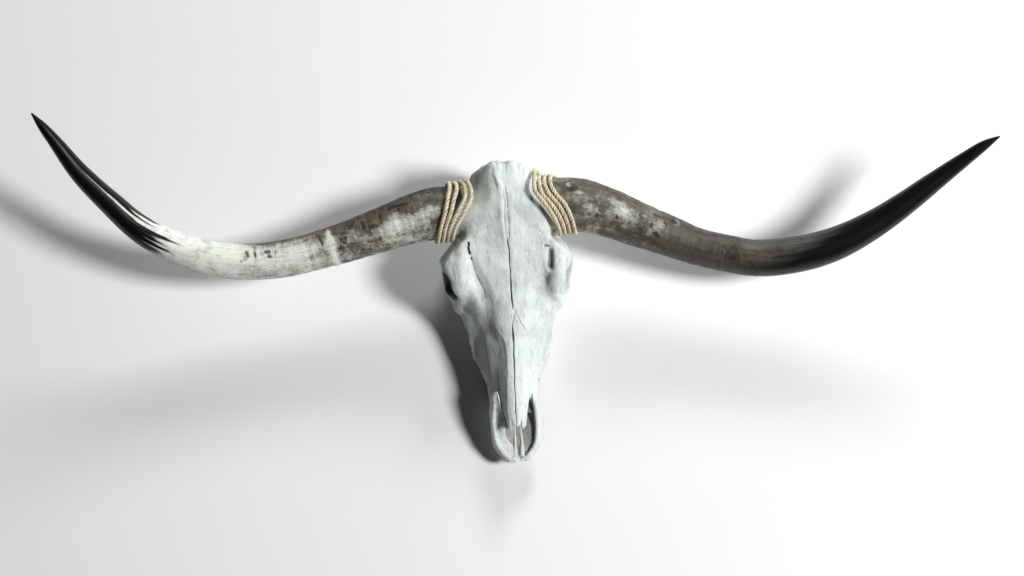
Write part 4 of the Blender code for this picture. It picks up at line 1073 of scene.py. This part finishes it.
def bone_finish(look):
    g = Graph("chalky_bone")
    place = g.place()
    grain = g.stretch(place, (1.0, 0.20, 1.0))
    broad = g.speckle(place, 14.0, 3.0, 0.6)
    blotch = g.speckle(place, 46.0, 5.0, 0.65)
    streak = g.speckle(grain, 170.0, 5.0, 0.72)
    crumbs = g.speckle(place, 330.0, 4.0, 0.72)
    fine = g.speckle(place, 900.0, 3.0, 0.7)
    pores = g.cells(grain, 420.0)
    colour = g.blend(broad.ease(0.35, 0.68), look.chalk, look.cool)
    colour = colour.tint(look.warm, blotch.ease(0.52, 0.80) * 0.35)
    drawn = g.speckle(g.stretch(place, (1.0, 0.28, 1.0)), 75.0, 5.0, 0.66, 0.3)
    colour = colour.tint((0.40, 0.43, 0.41), drawn.ease(0.50, 0.70) * 0.50)
    colour = colour.tint((0.90, 0.94, 0.92), drawn.ease(0.46, 0.30) * 0.60)
    colour = colour.tint((0.46, 0.49, 0.47), streak.ease(0.50, 0.76) * 0.38)
    colour = colour.tint((0.50, 0.53, 0.51), (crumbs * 0.4 + blotch * 0.6).ease(0.50, 0.66) * 0.42)
    speck = pores.ease(0.20, 0.06) * streak.ease(0.52, 0.66) * blotch.ease(0.45, 0.60)
    colour = colour.tint((0.30, 0.30, 0.28), speck * 0.5)
    # painted shade: darker in recesses, in the pits of the poll, on the sides and undersides of the nasal bones,
    # and on the right side of the face and poll, which turn away from the key light
    sheltered = g.mark("sheltered")
    colour = colour.tint((0.20, 0.185, 0.16), (sheltered + blotch * 0.3 - 0.15).ease(0.35, 1.10) * 0.62)
    enamel = g.mark("enamel")
    tooth = g.blend(streak.ease(0.35, 0.65), (0.62, 0.55, 0.40), (0.36, 0.26, 0.15))
    colour = colour.tint(tooth, enamel * 0.85)
    # the sheet in the floor of the nose and the nose passage's walls: a membrane colour that stands in for shade
    # in the opening
    skin_grain = g.speckle(g.stretch(place, (1.0, 0.25, 1.0)), 260.0, 4.0, 0.7, 1.2)
    shade_sheet = g.blend(skin_grain.ease(0.40, 0.68), (0.30, 0.295, 0.275), (0.54, 0.53, 0.50))
    colour = colour.tint(shade_sheet, g.mark("dried"))
    # dirt in seams and cracks, and painted shade in the eye sockets, the nose passage, the brow slit, the trench
    # and the crack between the nasal bones
    dark = g.mark("dark")
    colour = colour.tint(look.crack, (dark + (fine - 0.5) * 0.25).ease(0.12, 0.85))
    scored = drawn.ease(0.50, 0.70)
    height = fine * 0.10 + crumbs * 0.32 + streak * 0.55 - speck * 0.7 + blotch * 1.1 - scored * 0.5
    rough = 0.82 + 0.10 * fine - 0.34 * enamel
    return g.finish(colour, rough, height, 0.0013, 0.75)


def horn_finish(look):
    """Weathered horn: its coordinates run along the horn as if it were straight."""
    g = Graph("weathered_horn")
    straight = g.mark("straight", "Vector")
    fibres = g.speckle(g.stretch(straight, (0.10, 1.0, 1.0)), 330.0, 4.0, 0.65)
    bands = g.speckle(g.stretch(straight, (0.16, 1.0, 1.0)), 60.0, 4.0, 0.6, 0.4)
    rings = g.speckle(g.stretch(straight, (1.0, 0.22, 0.22)), 80.0, 3.0, 0.6)
    mottle = g.speckle(straight, 48.0, 5.0, 0.65, 0.5)
    flecks = g.speckle(straight, 150.0, 5.0, 0.7)
    pale, brown, dark, black = [g.mark(key) for key in ("pale", "brown", "dark", "black")]
    colour = g.blend((bands * 0.5 + mottle * 0.5).ease(0.36, 0.62), look.umber, look.grey)
    colour = colour.tint((0.050, 0.046, 0.037), (fibres * 0.5 + mottle * 0.5).ease(0.50, 0.64) * 0.7)
    colour = colour.tint((0.40, 0.40, 0.36), flecks.ease(0.58, 0.74) * (pale * 0.8 + 0.10))
    tan = g.blend((fibres * 0.5 + flecks * 0.5).ease(0.40, 0.62), (0.055, 0.041, 0.027), (0.20, 0.165, 0.115))
    colour = colour.tint(tan, (brown + (mottle - 0.5) * 1.0).ease(0.38, 0.80) * 0.85)
    cream = g.blend((fibres * 0.45 + mottle * 0.45 + rings * 0.1).ease(0.44, 0.66), look.cream,
                    (0.50, 0.49, 0.41))
    cream = cream.tint((0.30, 0.27, 0.21), (mottle.ease(0.54, 0.70) * flecks.ease(0.44, 0.62)) * 0.60)
    scales = g.speckle(g.stretch(straight, (1.0, 0.55, 0.55)), 95.0, 5.0, 0.72, 0.8)
    pale_share = (pale + (mottle - 0.5) * 1.1 + (flecks - 0.5) * 0.7 + (bands - 0.5) * 0.8
                  + (scales - 0.5) * 0.8).ease(0.22, 0.98)
    colour = colour.tint(cream, pale_share)
    stain = (dark + (flecks - 0.5) * 1.5 + (scales - 0.5) * 1.6).ease(0.40, 0.86)
    colour = colour.tint((0.030, 0.024, 0.018), stain * 0.85)
    tip = g.blend(fibres.ease(0.60, 0.85), look.black, (0.030, 0.029, 0.028))
    colour = colour.tint(tip, black)
    rough = 0.62 - 0.34 * black + 0.12 * fibres + 0.15 * stain * (1 - black)
    g.feed(g.shader.inputs["Specular IOR Level"], 0.35)
    height = (fibres * 0.6 + flecks * 0.6 + rings * 0.1 + scales * 0.5 - stain * 0.9) * (1.05 - black)
    return g.finish(colour, rough, height, 0.0007, 0.55)


def rope_finish(look):
    g = Graph("twisted_fibre")
    yarn = g.mark("yarn", "Vector")
    threads = g.speckle(g.stretch(yarn, (0.10, 1.0, 1.0)), 900.0, 3.0, 0.6)
    patches = g.speckle(yarn, 60.0, 3.0, 0.6)
    gap_shade = g.mark("hollow")
    colour = g.blend(threads.ease(0.30, 0.70), look.shade, look.straw)
    colour = colour.tint(look.bleached, patches.ease(0.48, 0.75) * 0.6)
    # painted shade between the strands, near black
    colour = colour.tint((0.045, 0.032, 0.018), gap_shade.ease(0.12, 0.62) * 0.92)
    return g.finish(colour, 0.88, threads, 0.0005, 0.8)


def plain_finish(name, colour, roughness):
    """A smooth finish of one colour, with faint unevenness."""
    g = Graph(name)
    uneven = g.speckle(g.place(), 3.0, 2.0)
    shade = g.blend(uneven, colour, [c * 0.97 for c in colour])
    return g.finish(shade, roughness, uneven, 0.0001, 0.1)


# ---------------------------------------------------------------- settings

def colour_setting(name, description, value):
    return FloatVectorProperty(name=name, description=description, subtype="COLOR", size=3, min=0, max=1,
                               default=value)


def length_setting(name, description, value):
    return FloatProperty(name=name, description=description, unit="LENGTH", min=0, default=value, precision=5)


class BoneSettings(bpy.types.PropertyGroup):
    cell: length_setting("Grid step", "Grid step at which the skull's surface is found", 0.0014)
    thin_cell: length_setting("Thin bone step", "Grid step for the bones of the nose", 0.0009)
    triangles: IntProperty(name="Triangles", description="Triangles of the skull before its cracks are refined",
                           default=136000, min=1000)
    chalk: colour_setting("Chalk", "Bleached bone", (0.770, 0.825, 0.805))
    cool: colour_setting("Cool bone", "Bone with a grey-green cast", (0.660, 0.720, 0.700))
    warm: colour_setting("Warm bone", "Ivory patches", (0.720, 0.740, 0.680))
    # also the colour of painted shade in the eye sockets, the nose passage, the brow slit, the trench and between
    # the nasal bones
    crack: colour_setting("Crack", "Dirt in seams and cracks", (0.050, 0.042, 0.036))


class HornSettings(bpy.types.PropertyGroup):
    rows: IntProperty(name="Rows", description="Rings of points along each horn", default=640, min=50)
    sides: IntProperty(name="Sides", description="Points round each horn", default=112, min=12)
    grey: colour_setting("Grey horn", "Weathered horn near the rope", (0.205, 0.190, 0.150))
    umber: colour_setting("Umber horn", "Darker streaks in the weathered horn", (0.080, 0.068, 0.050))
    cream: colour_setting("Cream horn", "The pale stretch", (0.860, 0.895, 0.830))
    black: colour_setting("Black horn", "The polished tips", (0.004, 0.004, 0.004))


class RopeSettings(bpy.types.PropertyGroup):
    radius: length_setting("Rope radius", "Half the rope's thickness", 0.0039)
    lay: length_setting("Lay", "Length over which a strand goes once round the rope", 0.0200)
    clearance: length_setting("Clearance", "Gap between rope and bone", 0.0001)
    fibres: IntProperty(name="Loose fibres", description="Loose fibres on each rope", default=520, min=0)
    straw: colour_setting("Straw", "Sunlit fibre", (0.860, 0.780, 0.590))
    shade: colour_setting("Fibre shade", "Fibre between the yarns", (0.520, 0.430, 0.280))
    bleached: colour_setting("Bleached fibre", "Paler worn fibre", (0.920, 0.880, 0.770))


class StageSettings(bpy.types.PropertyGroup):
    distance: length_setting("Camera distance", "From the camera to the face plane", 3.2)
    view_width: length_setting("View width", "Width of the view on the face plane", 1.833)
    roll: FloatProperty(name="Roll", description="How far the skull leans in the picture", subtype="ANGLE",
                        default=math.radians(3.1))
    floor_size: length_setting("Floor size", "Side of the floor", 24.0)
    floor_colour: colour_setting("Floor", "Floor colour", (0.93, 0.93, 0.93))
    key_power: FloatProperty(name="Key light", description="Power of the soft light from the upper right",
                             subtype="POWER", default=372.0)
    fill_strength: FloatProperty(name="Fill", description="Strength of the even light all round", default=0.012)


# ---------------------------------------------------------------- operators

class SKULL_OT_cranium(bpy.types.Operator):
    """Build the cranium and upper jaw as one bone"""
    bl_idname = "longhorn.cranium"
    bl_label = "Cranium and upper jaw"

    def execute(self, context):
        look = context.scene.longhorn_bone
        depth, dark = [FaceMap(drawn) for drawn in fine_marks(*face_grid())]
        carve = face_carver()
        points, quads = surface(skull_shape, *SKULL_BOX, look.cell, (-1, 1),
                                lambda p: carve(p) + under_nasal(p) + uneven_eyes(p), CUT_REACH)
        mesh = thin_out(bare_mesh("skull", points, quads), look.triangles)

        def near_crack(p):
            across, down, above = face_place(p)
            return (dark.at(across, down) > 0.10) & (above > -0.045)

        mesh = refine(refine(mesh, near_crack), near_crack)
        p, n = places(mesh)
        half = np.abs(p[0])
        half_p = (half, p[1], p[2])       # its last two rows are p's own, so they move with it
        across, down, above = face_place(p)
        towards_viewer = n[2] * math.cos(FACE_TILT) - n[1] * math.sin(FACE_TILT)
        high = ease(above, -0.060, -0.040)
        front = ease(towards_viewer, 0.05, 0.35) * high
        # the walls of what is carved in, which don't face the viewer
        inside = ease(skull_shape(half_p), -0.0005, -0.0022) * high
        darkness = np.maximum(dark.at(across, down) * np.maximum(front, inside), 0)
        sink = depth.at(across, down) * front

        wander = 0.0012 * noise(p, 0.007, 61, 2)
        side_on = ease(np.abs(n[0]), 0.45, 0.75) * (half > 0.03)
        below = ease(-n[2], 0.30, 0.60) * (p[1] < -0.24)
        for seams, a, b, where, wide, deep, shade, tips in (
                (CHEEK_SEAMS, p[1], p[2], side_on, 0.0010, 0.0005, 0.30, 0.1),
                (PALATE_SEAMS, half, p[1], below, 0.0012, 0.0008, 0.4, 0.05)):
            for seam in seams:
                mark = stroke(a + wander, b + wander, seam, wide, 1.0, tips) * where
                sink, darkness = sink + deep * mark, np.maximum(darkness, shade * mark)

        poll = ease(p[1], -0.055, -0.005) * ease(p[2], 0.15, 0.18)
        nape = ease(p[1], -0.030, -0.005) * (1 - ease(p[2], 0.16, 0.19)) * ease(p[2], 0.085, 0.11)
        coarse = np.clip(poll + 0.6 * nape, 0, 1)
        crumbled = 0.0010 * noise(p, 0.0075, 71, 3) + 0.0009 * pits(p, 0.0048, 0.55, 73)
        sink += bone_grain(p) + coarse * crumbled
        ragged = ease(np.abs(eye_socket(half_p)), 0.007, 0.0) * (half > 0.06) * (p[1] < -0.14)
        sink += ragged * (0.0013 * noise(p, 0.0075, 79, 3) + 0.0007 * pits(p, 0.0060, 0.5, 80))
        p -= n * sink * ease(p[2], 0.0, 0.004)

        enamel = ease(-p[2], -0.022, -0.016) * (p[1] < -0.25)
        cups = ease(skull_shape((half, p[1], np.full_like(half, 0.0008))), -0.0030, 0.0004) * (p[2] < 0.004)
        # painted shade inside the eye sockets, far darker in the right one, which faces away from the key light,
        # and in the nose passage, whose walls also take the nose sheet's colour; the dark cups of the teeth are
        # their own stain
        within = ease(-eye_socket(half_p), -0.0034, 0.0014) * (half > 0.03)
        passage_skin_and_shade = ease(-nose_passage(half_p), -0.0022, 0.0) * (p[1] < -0.34)
        for shade in (0.6 * enamel * cups, 0.14 * within + 0.60 * within * (p[0] < 0), 0.50 * passage_skin_and_shade):
            darkness = np.maximum(darkness, shade)
        # painted shade in recesses, from how closed in each place is
        closed = 0.45 * shelter(skull_shape, half, p, n, 0.004) + 0.75 * shelter(skull_shape, half, p, n, 0.016)
        # painted shade on the face's right side, which turns away from the key light, and on the right part of
        # the poll
        closed += 0.85 * ease(-n[0], 0.50, 0.80) * ease(-p[1], 0.20, 0.27)
        closed += 0.60 * ease(-p[0], 0.016, 0.034) * ease(down, -0.085, -0.045) * ease(n[2], 0.1, 0.5)
        # painted shade also darkens the pits of the rough poll and nape
        put_bone("skull", mesh, p, ("cranium", "muzzle"), dark=darkness, enamel=enamel, dried=passage_skin_and_shade,
                 sheltered=closed + 0.25 * coarse * pits(p, 0.0048, 0.55, 73))
        return {"FINISHED"}


class SKULL_OT_nasals(bpy.types.Operator):
    """Build the two nasal bones, with the open crack between them"""
    bl_idname = "longhorn.nasals"
    bl_label = "Nasal bones"

    def execute(self, context):
        look = context.scene.longhorn_bone
        depth, dark = [FaceMap(drawn) for drawn in fine_marks(*face_grid())]
        carve = face_carver()
        for name, side in (("left", 1), ("right", -1)):
            mesh = bare_mesh("nasal_bone_" + name,
                             *surface(lambda p: nasal(p, side, carve), *NASAL_BOX, look.thin_cell, (side,)))
            p, n = places(mesh)
            near = ease(-np.abs(p[0] - crack_place(p[1])), -0.006, -0.001) * ease(-p[1], 0.284, 0.296)
            p[0] += 0.0007 * near * noise((np.zeros_like(p[0]), p[1], np.zeros_like(p[0])), 0.010, 83, 2)
            across, down = face_place(p)[:2]
            front = ease(n[2], 0.2, 0.5)
            rough = 0.6 + 0.4 * ease(np.abs(p[0] - crack_place(p[1])) - nasal_half(p[1]), -0.0060, -0.0020)
            p -= n * (rough * bone_grain(p) + depth.at(across, down) * front)
            # painted shade on the walls of the crack between the nasal bones and on the bones' sides and
            # undersides, which face away from above
            crack = ease(-n[2], -0.75, -0.1) * ease(-np.abs(across - crack_place(p[1])), -0.004, -0.002)
            put_bone("nasal_bone_" + name, mesh, p, ("nasal_" + name,), sheltered=0.5 * ease(-n[2], -0.2, 0.6),
                     dark=np.maximum(dark.at(across, down) * front, 0.7 * crack * ease(-p[1], 0.284, 0.292)))
        return {"FINISHED"}


class SKULL_OT_front_jaw(bpy.types.Operator):
    """Build the two premaxillae, the thin bones at the front of the jaw, with the floor of the nose"""
    bl_idname = "longhorn.front_jaw"
    bl_label = "Front jaw bones"

    def execute(self, context):
        look = context.scene.longhorn_bone
        for name, bones, side in (("left", premaxilla_left, 1), ("right", premaxilla_right, -1)):
            def shape(p):
                return join(bones(p), nose_floor(p), 0.002)

            mesh = bare_mesh("front_jaw_" + name, *surface(shape, *JAW_BOX, look.thin_cell, (side,)))
            p, n = places(mesh)
            half = np.abs(p[0])
            # the sheet away from the bones gets the membrane colour that stands in for shade, and recesses get
            # painted shade
            shade_sheet = ease(bones((half, p[1], p[2])), 0.0003, 0.0030) * ease(p[1], -0.516, -0.506)
            p -= n * (bone_grain(p) + 0.0004 * noise(p, 0.006, 89, 2)) * (1 - 0.6 * shade_sheet)
            put_bone("front_jaw_" + name, mesh, p, ("premaxilla_" + name,), dried=shade_sheet,
                     sheltered=0.6 * shelter(shape, half, p, n, 0.005))
        return {"FINISHED"}


class SKULL_OT_horns(bpy.types.Operator):
    """Build the two horns"""
    bl_idname = "longhorn.horns"
    bl_label = "Horns"

    def execute(self, context):
        look = context.scene.longhorn_horn
        for name, stations, side in (("left", HORN_LEFT, 1), ("right", HORN_RIGHT, -1)):
            seed = 100 if side > 0 else 200
            line = horn_line(stations, side, HORN_POINTS)
            centre, length = line[:, :3], line[-1, 4]
            up, across = frames(centre)[1:]
            angle = np.arange(look.sides) * 2 * math.pi / look.sides * -side
            # each of the points round the base starts on the slanting seam
            u = np.linspace(0, 1, look.rows)[:, None]
            ring_dir = up[0][None] * np.cos(angle)[:, None] + across[0][None] * np.sin(angle)[:, None]
            rim = centre[0] + ring_dir * line[0, 3]
            ahead = (centre[1] - centre[0]) / np.linalg.norm(centre[1] - centre[0])
            slant = np.array(SEAM_SLANT) * (side, 1, 1)
            slant /= np.linalg.norm(slant)
            seam = np.array(SEAM_POINT) * (side, 1, 1)
            start = ((seam + slant * 0.0002 - rim) @ slant) / (ahead @ slant)
            s = length * u + start[None, :] * (1 - u) ** 8
            place = [np.interp(s, line[:, 4], centre[:, i]) for i in range(3)]
            radius = np.interp(s, line[:, 4], line[:, 3])
            out = [np.interp(s, line[:, 4], up[:, i]) * np.cos(angle) + np.interp(s, line[:, 4], across[:, i])
                   * np.sin(angle) for i in range(3)]
            straight = (s, radius * np.cos(angle), radius * np.sin(angle))
            far = s / length
            base = 1 - ease(far, 0.25, 0.60)
            plain = 1 - ease(far, 0.72, 0.95)
            grow = 0.0009 * noise(straight, (0.050, 0.030, 0.030), seed, 2) * plain
            grow += 0.0008 * noise(straight, (0.0085, 0.080, 0.080), seed + 5, 2) * base
            grow += 0.00035 * noise(straight, (0.070, 0.0032, 0.0032), seed + 9, 2) * plain
            turn = np.rad2deg(np.arctan2(np.cos(angle), -side * np.sin(angle)))[None, :] % 360
            marks = self.colours(s, turn, straight, side, seed)
            chips = ease(noise(straight, (0.010, 0.006, 0.006), seed + 13, 3), 0.05, 0.35)
            grow -= 0.0011 * ease(marks["dark"], 0.45, 1.0) * (0.4 + chips)
            grow += 0.0007 * ease(marks["brown"], 0.55, 1.0) * noise(straight, 0.007, seed + 15, 2)
            grow += 0.0003 * ease(marks["pale"], 0.3, 0.8) * noise(straight, 0.004, seed + 16, 2) * base
            cracks = np.abs(noise(straight, (0.120, 0.008, 0.008), seed + 17, 2))
            grow += HORN_SWELL * np.clip(np.cos(np.deg2rad(turn)), 0, 1) ** 1.5 * (1 - ease(s, 0.05, 0.17))
            crack = (1 - ease(cracks, 0.0, 0.05)) * base * ease(noise(straight, 0.05, seed + 21), 0.0, 0.4)
            grow -= 0.0008 * crack
            marks["dark"] = marks["dark"] + 0.5 * crack
            thick = radius + grow * np.minimum(radius / 0.02, 1)
            points = np.stack([place[i] + out[i] * thick for i in range(3)])
            rows = points.reshape(3, -1).T
            ends = np.stack([rows[:look.sides].mean(axis=0), centre[-1]])
            mesh = bpy.data.meshes.new(name + "_horn")
            mesh.from_pydata(np.concatenate([rows, ends]).tolist(), [], tube_faces(look.rows, look.sides))
            marks = {key: np.concatenate([value.ravel(), (0, key == "black")]) for key, value in marks.items()}
            flat = np.stack([c + 0 * s for c in straight], axis=-1).reshape(-1, 3)
            marks["straight"] = np.concatenate([flat, [(0, 0, 0), (length, 0, 0)]])
            p = np.concatenate([rows, ends]).T
            put(name + "_horn", mesh, p, "weathered_horn", ("horn_" + name,), marks)
        return {"FINISHED"}

    def colours(self, s, turn, straight, side, seed):
        """How pale, brown, dark and black the horn is. s is the distance from its base, turn goes round it."""
        base, blotches, edge = ((BASE_LEFT, BLOTCHES_LEFT, BLACK_LEFT) if side > 0 else
                                (BASE_RIGHT, BLOTCHES_RIGHT, BLACK_RIGHT))
        seen, height = ease(np.sin(np.deg2rad(turn)), -0.25, 0.15), np.cos(np.deg2rad(turn))
        bend = 0.004 * noise(straight, 0.018, seed + 23, 2)
        marks = {key: curve(s, stations) + 0.25 * noise(straight, (0.05, 0.03, 0.03), seed + 25 + i, 2)
                 for i, (key, stations) in enumerate(base.items())}
        for key, spots in blotches.items():
            for middle, across, long, wide, share in spots:
                off_along = (s + bend - middle / 1000) / (long / 1000)
                off_across = (height + 24 * bend - across) / wide
                off = (off_along ** 2 + off_across ** 2) ** (1.0 if long > 12 else 1.4)
                marks[key] = marks[key] + share * seen * np.exp(-off)
        marks["pale"] += 0.16 * noise(straight, (0.012, 0.020, 0.020), seed + 41, 2) * (1 - ease(s, 0.45, 0.55))
        begins = around(turn, edge, 1) + 0.030 * noise(straight, (0.5, 0.0035, 0.0035), seed + 31, 2)
        soft = 0.012 if side < 0 else 0.060
        tinge = 0.15 + 0.42 * ease(s, 0.10, 0.38) if side > 0 else 0
        ragged = s + 0.012 * noise(straight, (0.05, 0.002, 0.002), seed + 33, 2)
        marks["black"] = tinge + (1 - tinge) * ease(ragged, begins - soft, begins + soft)
        return marks


class SKULL_OT_ropes(bpy.types.Operator):
    """Wind a three-strand rope round each horn's base"""
    bl_idname = "longhorn.ropes"
    bl_label = "Ropes"

    def execute(self, context):
        look = context.scene.longhorn_rope
        strand = look.radius / STRANDS_IN_ROPE
        wide = look.radius - strand
        for name, stations, windings, side in (("left", HORN_LEFT, ROPE_LEFT, 1),
                                               ("right", HORN_RIGHT, ROPE_RIGHT, -1)):
            horn = horn_line(stations, side, WINDING_POINTS)
            knots = rope_line(windings, horn, side, look.radius, look.clearance)
            done = lengths(knots)
            at = np.arange(0, done[-1], STRAND_STEP)
            path = np.stack([curve(at, list(zip(done, knots[:, i]))) for i in range(3)], axis=1)
            ahead, first, second = carried_frames(path)
            rng = np.random.default_rng(31 if side > 0 else 32)
            points, faces, yarn, strand_shade = [], [], [], []
            for k in range(3):
                uneven = 0.35 * noise((at, at * 0, at * 0 + k), 0.03, 7, 2)
                turn = at / look.lay * 2 * math.pi + k * 2 * math.pi / 3 + uneven
                middle = path + wide * (first * np.cos(turn)[:, None] + second * np.sin(turn)[:, None])
                own = carried_frames(middle)
                outward = middle - path
                angle = np.arange(STRAND_SIDES) * 2 * math.pi / STRAND_SIDES
                fat = strand * 1.06 * (1 + 0.06 * noise((at, at * 0, at * 0 + 5 + k), 0.012, 9, 2))
                ridge = 1 + 0.055 * np.cos(5 * (angle[None, :] + at[:, None] / look.lay * 2.6 * 2 * math.pi))
                ring_dir = spokes(own[1], own[2], angle)
                rows = middle[:, None] + ring_dir * (fat[:, None] * ridge)[..., None]
                facing = (ring_dir * (outward / wide)[:, None]).sum(axis=-1)
                start = sum(len(c) for c in points)
                faces += tube_faces(len(at), STRAND_SIDES, start)
                points.append(np.concatenate([rows.reshape(-1, 3), middle[:1] - ahead[:1] * 0.001,
                                              middle[-1:] + ahead[-1:] * 0.001]))
                flat = np.stack([at[:, None] + 0 * facing, strand * np.cos(angle)[None] + 0 * facing + 0.02 * k,
                                 strand * np.sin(angle)[None] + 0 * facing], axis=-1).reshape(-1, 3)
                yarn.append(np.concatenate([flat, flat[:1], flat[-1:]]))
                # painted shade on the side of each strand that turns in towards the others
                strand_shade.append(np.concatenate([np.clip(0.45 - facing, 0, 1.4).ravel() / 1.4, (1, 1)]))
            for _ in range(look.fibres):
                i = int(rng.integers(4, len(at) - 4))
                turn = rng.uniform(0, 2 * math.pi)
                out = first[i] * math.cos(turn) + second[i] * math.sin(turn)
                root = path[i] + out * look.radius * 0.92
                lean = ahead[i] * rng.choice((-1, 1)) * rng.uniform(0.5, 1.6) + out * rng.uniform(0.25, 1.0)
                lean += rng.normal(0, 0.25, 3)
                lean /= np.linalg.norm(lean)
                bend = rng.normal(0, 0.35, 3) - out * 0.15
                long = rng.uniform(0.0025, 0.0075)
                t = np.linspace(0, 1, 4)[:, None]
                middle = root + lean * long * t + bend * long * t * t
                thick = 0.00010 * (1.1 - t)
                angle = np.arange(3) * 2 * math.pi / 3
                rows = middle[:, None] + spokes(*carried_frames(middle)[1:], angle) * thick[..., None]
                start = sum(len(c) for c in points)
                faces += tube_faces(4, 3, start)
                points.append(np.concatenate([rows.reshape(-1, 3), middle[:1], middle[-1:]]))
                yarn.append(np.repeat([(at[i], 0.05, 0.0)], 14, axis=0))
                strand_shade.append(np.zeros(14))
            points = np.concatenate(points)
            mesh = bpy.data.meshes.new(name + "_rope")
            mesh.from_pydata(points.tolist(), [], faces)
            put(name + "_rope", mesh, points.T, "twisted_fibre", ("rope_" + name,),
                {"yarn": np.concatenate(yarn), "hollow": np.concatenate(strand_shade)})
            print(f"{name} rope {done[-1]:.3f} m long")
        return {"FINISHED"}


class SKULL_OT_finishes(bpy.types.Operator):
    """Make the materials of bone, horn, rope and floor"""
    bl_idname = "longhorn.finishes"
    bl_label = "Finishes"

    def execute(self, context):
        scene = context.scene
        bone_finish(scene.longhorn_bone)
        horn_finish(scene.longhorn_horn)
        rope_finish(scene.longhorn_rope)
        plain_finish("pale_floor", scene.longhorn_stage.floor_colour, 0.9)
        return {"FINISHED"}


class SKULL_OT_stage(bpy.types.Operator):
    """Set the floor, the soft lights and the camera"""
    bl_idname = "longhorn.stage"
    bl_label = "Stage"

    def execute(self, context):
        scene, look = context.scene, context.scene.longhorn_stage
        half = look.floor_size / 2
        mesh = bpy.data.meshes.new("floor")
        mesh.from_pydata([(-half, -half, 0), (half, -half, 0), (half, half, 0), (-half, half, 0)], [],
                         [(0, 1, 2, 3)])
        mesh.materials.append(bpy.data.materials["pale_floor"])
        floor = bpy.data.objects.new("floor", mesh)
        scene.collection.objects.link(floor)

        down = Vector((0, math.cos(FACE_TILT), math.sin(FACE_TILT)))       # towards the poll along the face
        facing = Vector((0, -math.sin(FACE_TILT), math.cos(FACE_TILT)))    # out of the face
        right = Vector((math.cos(look.roll), 0, 0)) - math.sin(look.roll) * down
        top = Vector((math.sin(look.roll), 0, 0)) + math.cos(look.roll) * down
        target = Vector(from_face(*VIEW_CENTRE, 0, 1)) + Vector(SHIFT)
        data = bpy.data.cameras.new("camera")
        data.sensor_width = 36
        data.lens = 36 * look.distance / look.view_width
        camera = bpy.data.objects.new("camera", data)
        scene.collection.objects.link(camera)
        pose = Matrix((right, top, facing)).transposed().to_4x4()
        pose.translation = target + facing * look.distance
        camera.matrix_world = pose
        scene.camera = camera

        for name, way, size, power, colour in (
                ("key", right * 0.66 + top * 0.06 + facing * 0.74, 1.3, look.key_power, (1.0, 1.0, 0.985)),
                ("side", right * 0.17 + top * 0.96 + facing * 0.24, 1.4, look.key_power * 0.50,
                 (0.97, 1.0, 1.0))):
            lamp = bpy.data.lights.new(name, "AREA")
            lamp.shape, lamp.size, lamp.energy, lamp.color = "DISK", size, power, colour
            light = bpy.data.objects.new(name, lamp)
            scene.collection.objects.link(light)
            way = way.normalized()
            light.location = target + way * LAMP_DISTANCE
            light.rotation_euler = way.to_track_quat("Z", "Y").to_euler()
        world = bpy.data.worlds.new("studio")
        world.use_nodes = True
        back = world.node_tree.nodes["Background"]
        back.inputs["Color"].default_value = (0.93, 0.96, 1.0, 1)
        back.inputs["Strength"].default_value = look.fill_strength
        scene.world = world
        scene.view_settings.view_transform = "Standard"
        return {"FINISHED"}


STEPS = ("finishes", "cranium", "nasals", "front_jaw", "horns", "ropes", "stage")


class SKULL_PT_panel(bpy.types.Panel):
    """The skull's pieces and their settings"""
    bl_label = "Longhorn skull"
    bl_idname = "SKULL_PT_panel"
    bl_space_type = "VIEW_3D"
    bl_region_type = "UI"
    bl_category = "Skull"

    def draw(self, context):
        for group in ("longhorn_bone", "longhorn_horn", "longhorn_rope", "longhorn_stage"):
            box = self.layout.box()
            settings = getattr(context.scene, group)
            for key in settings.__annotations__:
                box.prop(settings, key)
        for step in STEPS:
            self.layout.operator("longhorn." + step)


GROUPS = {"longhorn_bone": BoneSettings, "longhorn_horn": HornSettings, "longhorn_rope": RopeSettings,
          "longhorn_stage": StageSettings}
CLASSES = (*GROUPS.values(), SKULL_OT_finishes, SKULL_OT_cranium, SKULL_OT_nasals, SKULL_OT_front_jaw,
           SKULL_OT_horns, SKULL_OT_ropes, SKULL_OT_stage, SKULL_PT_panel)


def register():
    for cls in CLASSES:
        bpy.utils.register_class(cls)
    for key, group in GROUPS.items():
        setattr(bpy.types.Scene, key, PointerProperty(type=group))


def unregister():
    for key in GROUPS:
        delattr(bpy.types.Scene, key)
    for cls in reversed(CLASSES):
        bpy.utils.unregister_class(cls)


def main():
    register()
    for step in STEPS:
        getattr(bpy.ops.longhorn, step)()


if __name__ == "__main__":
    main()
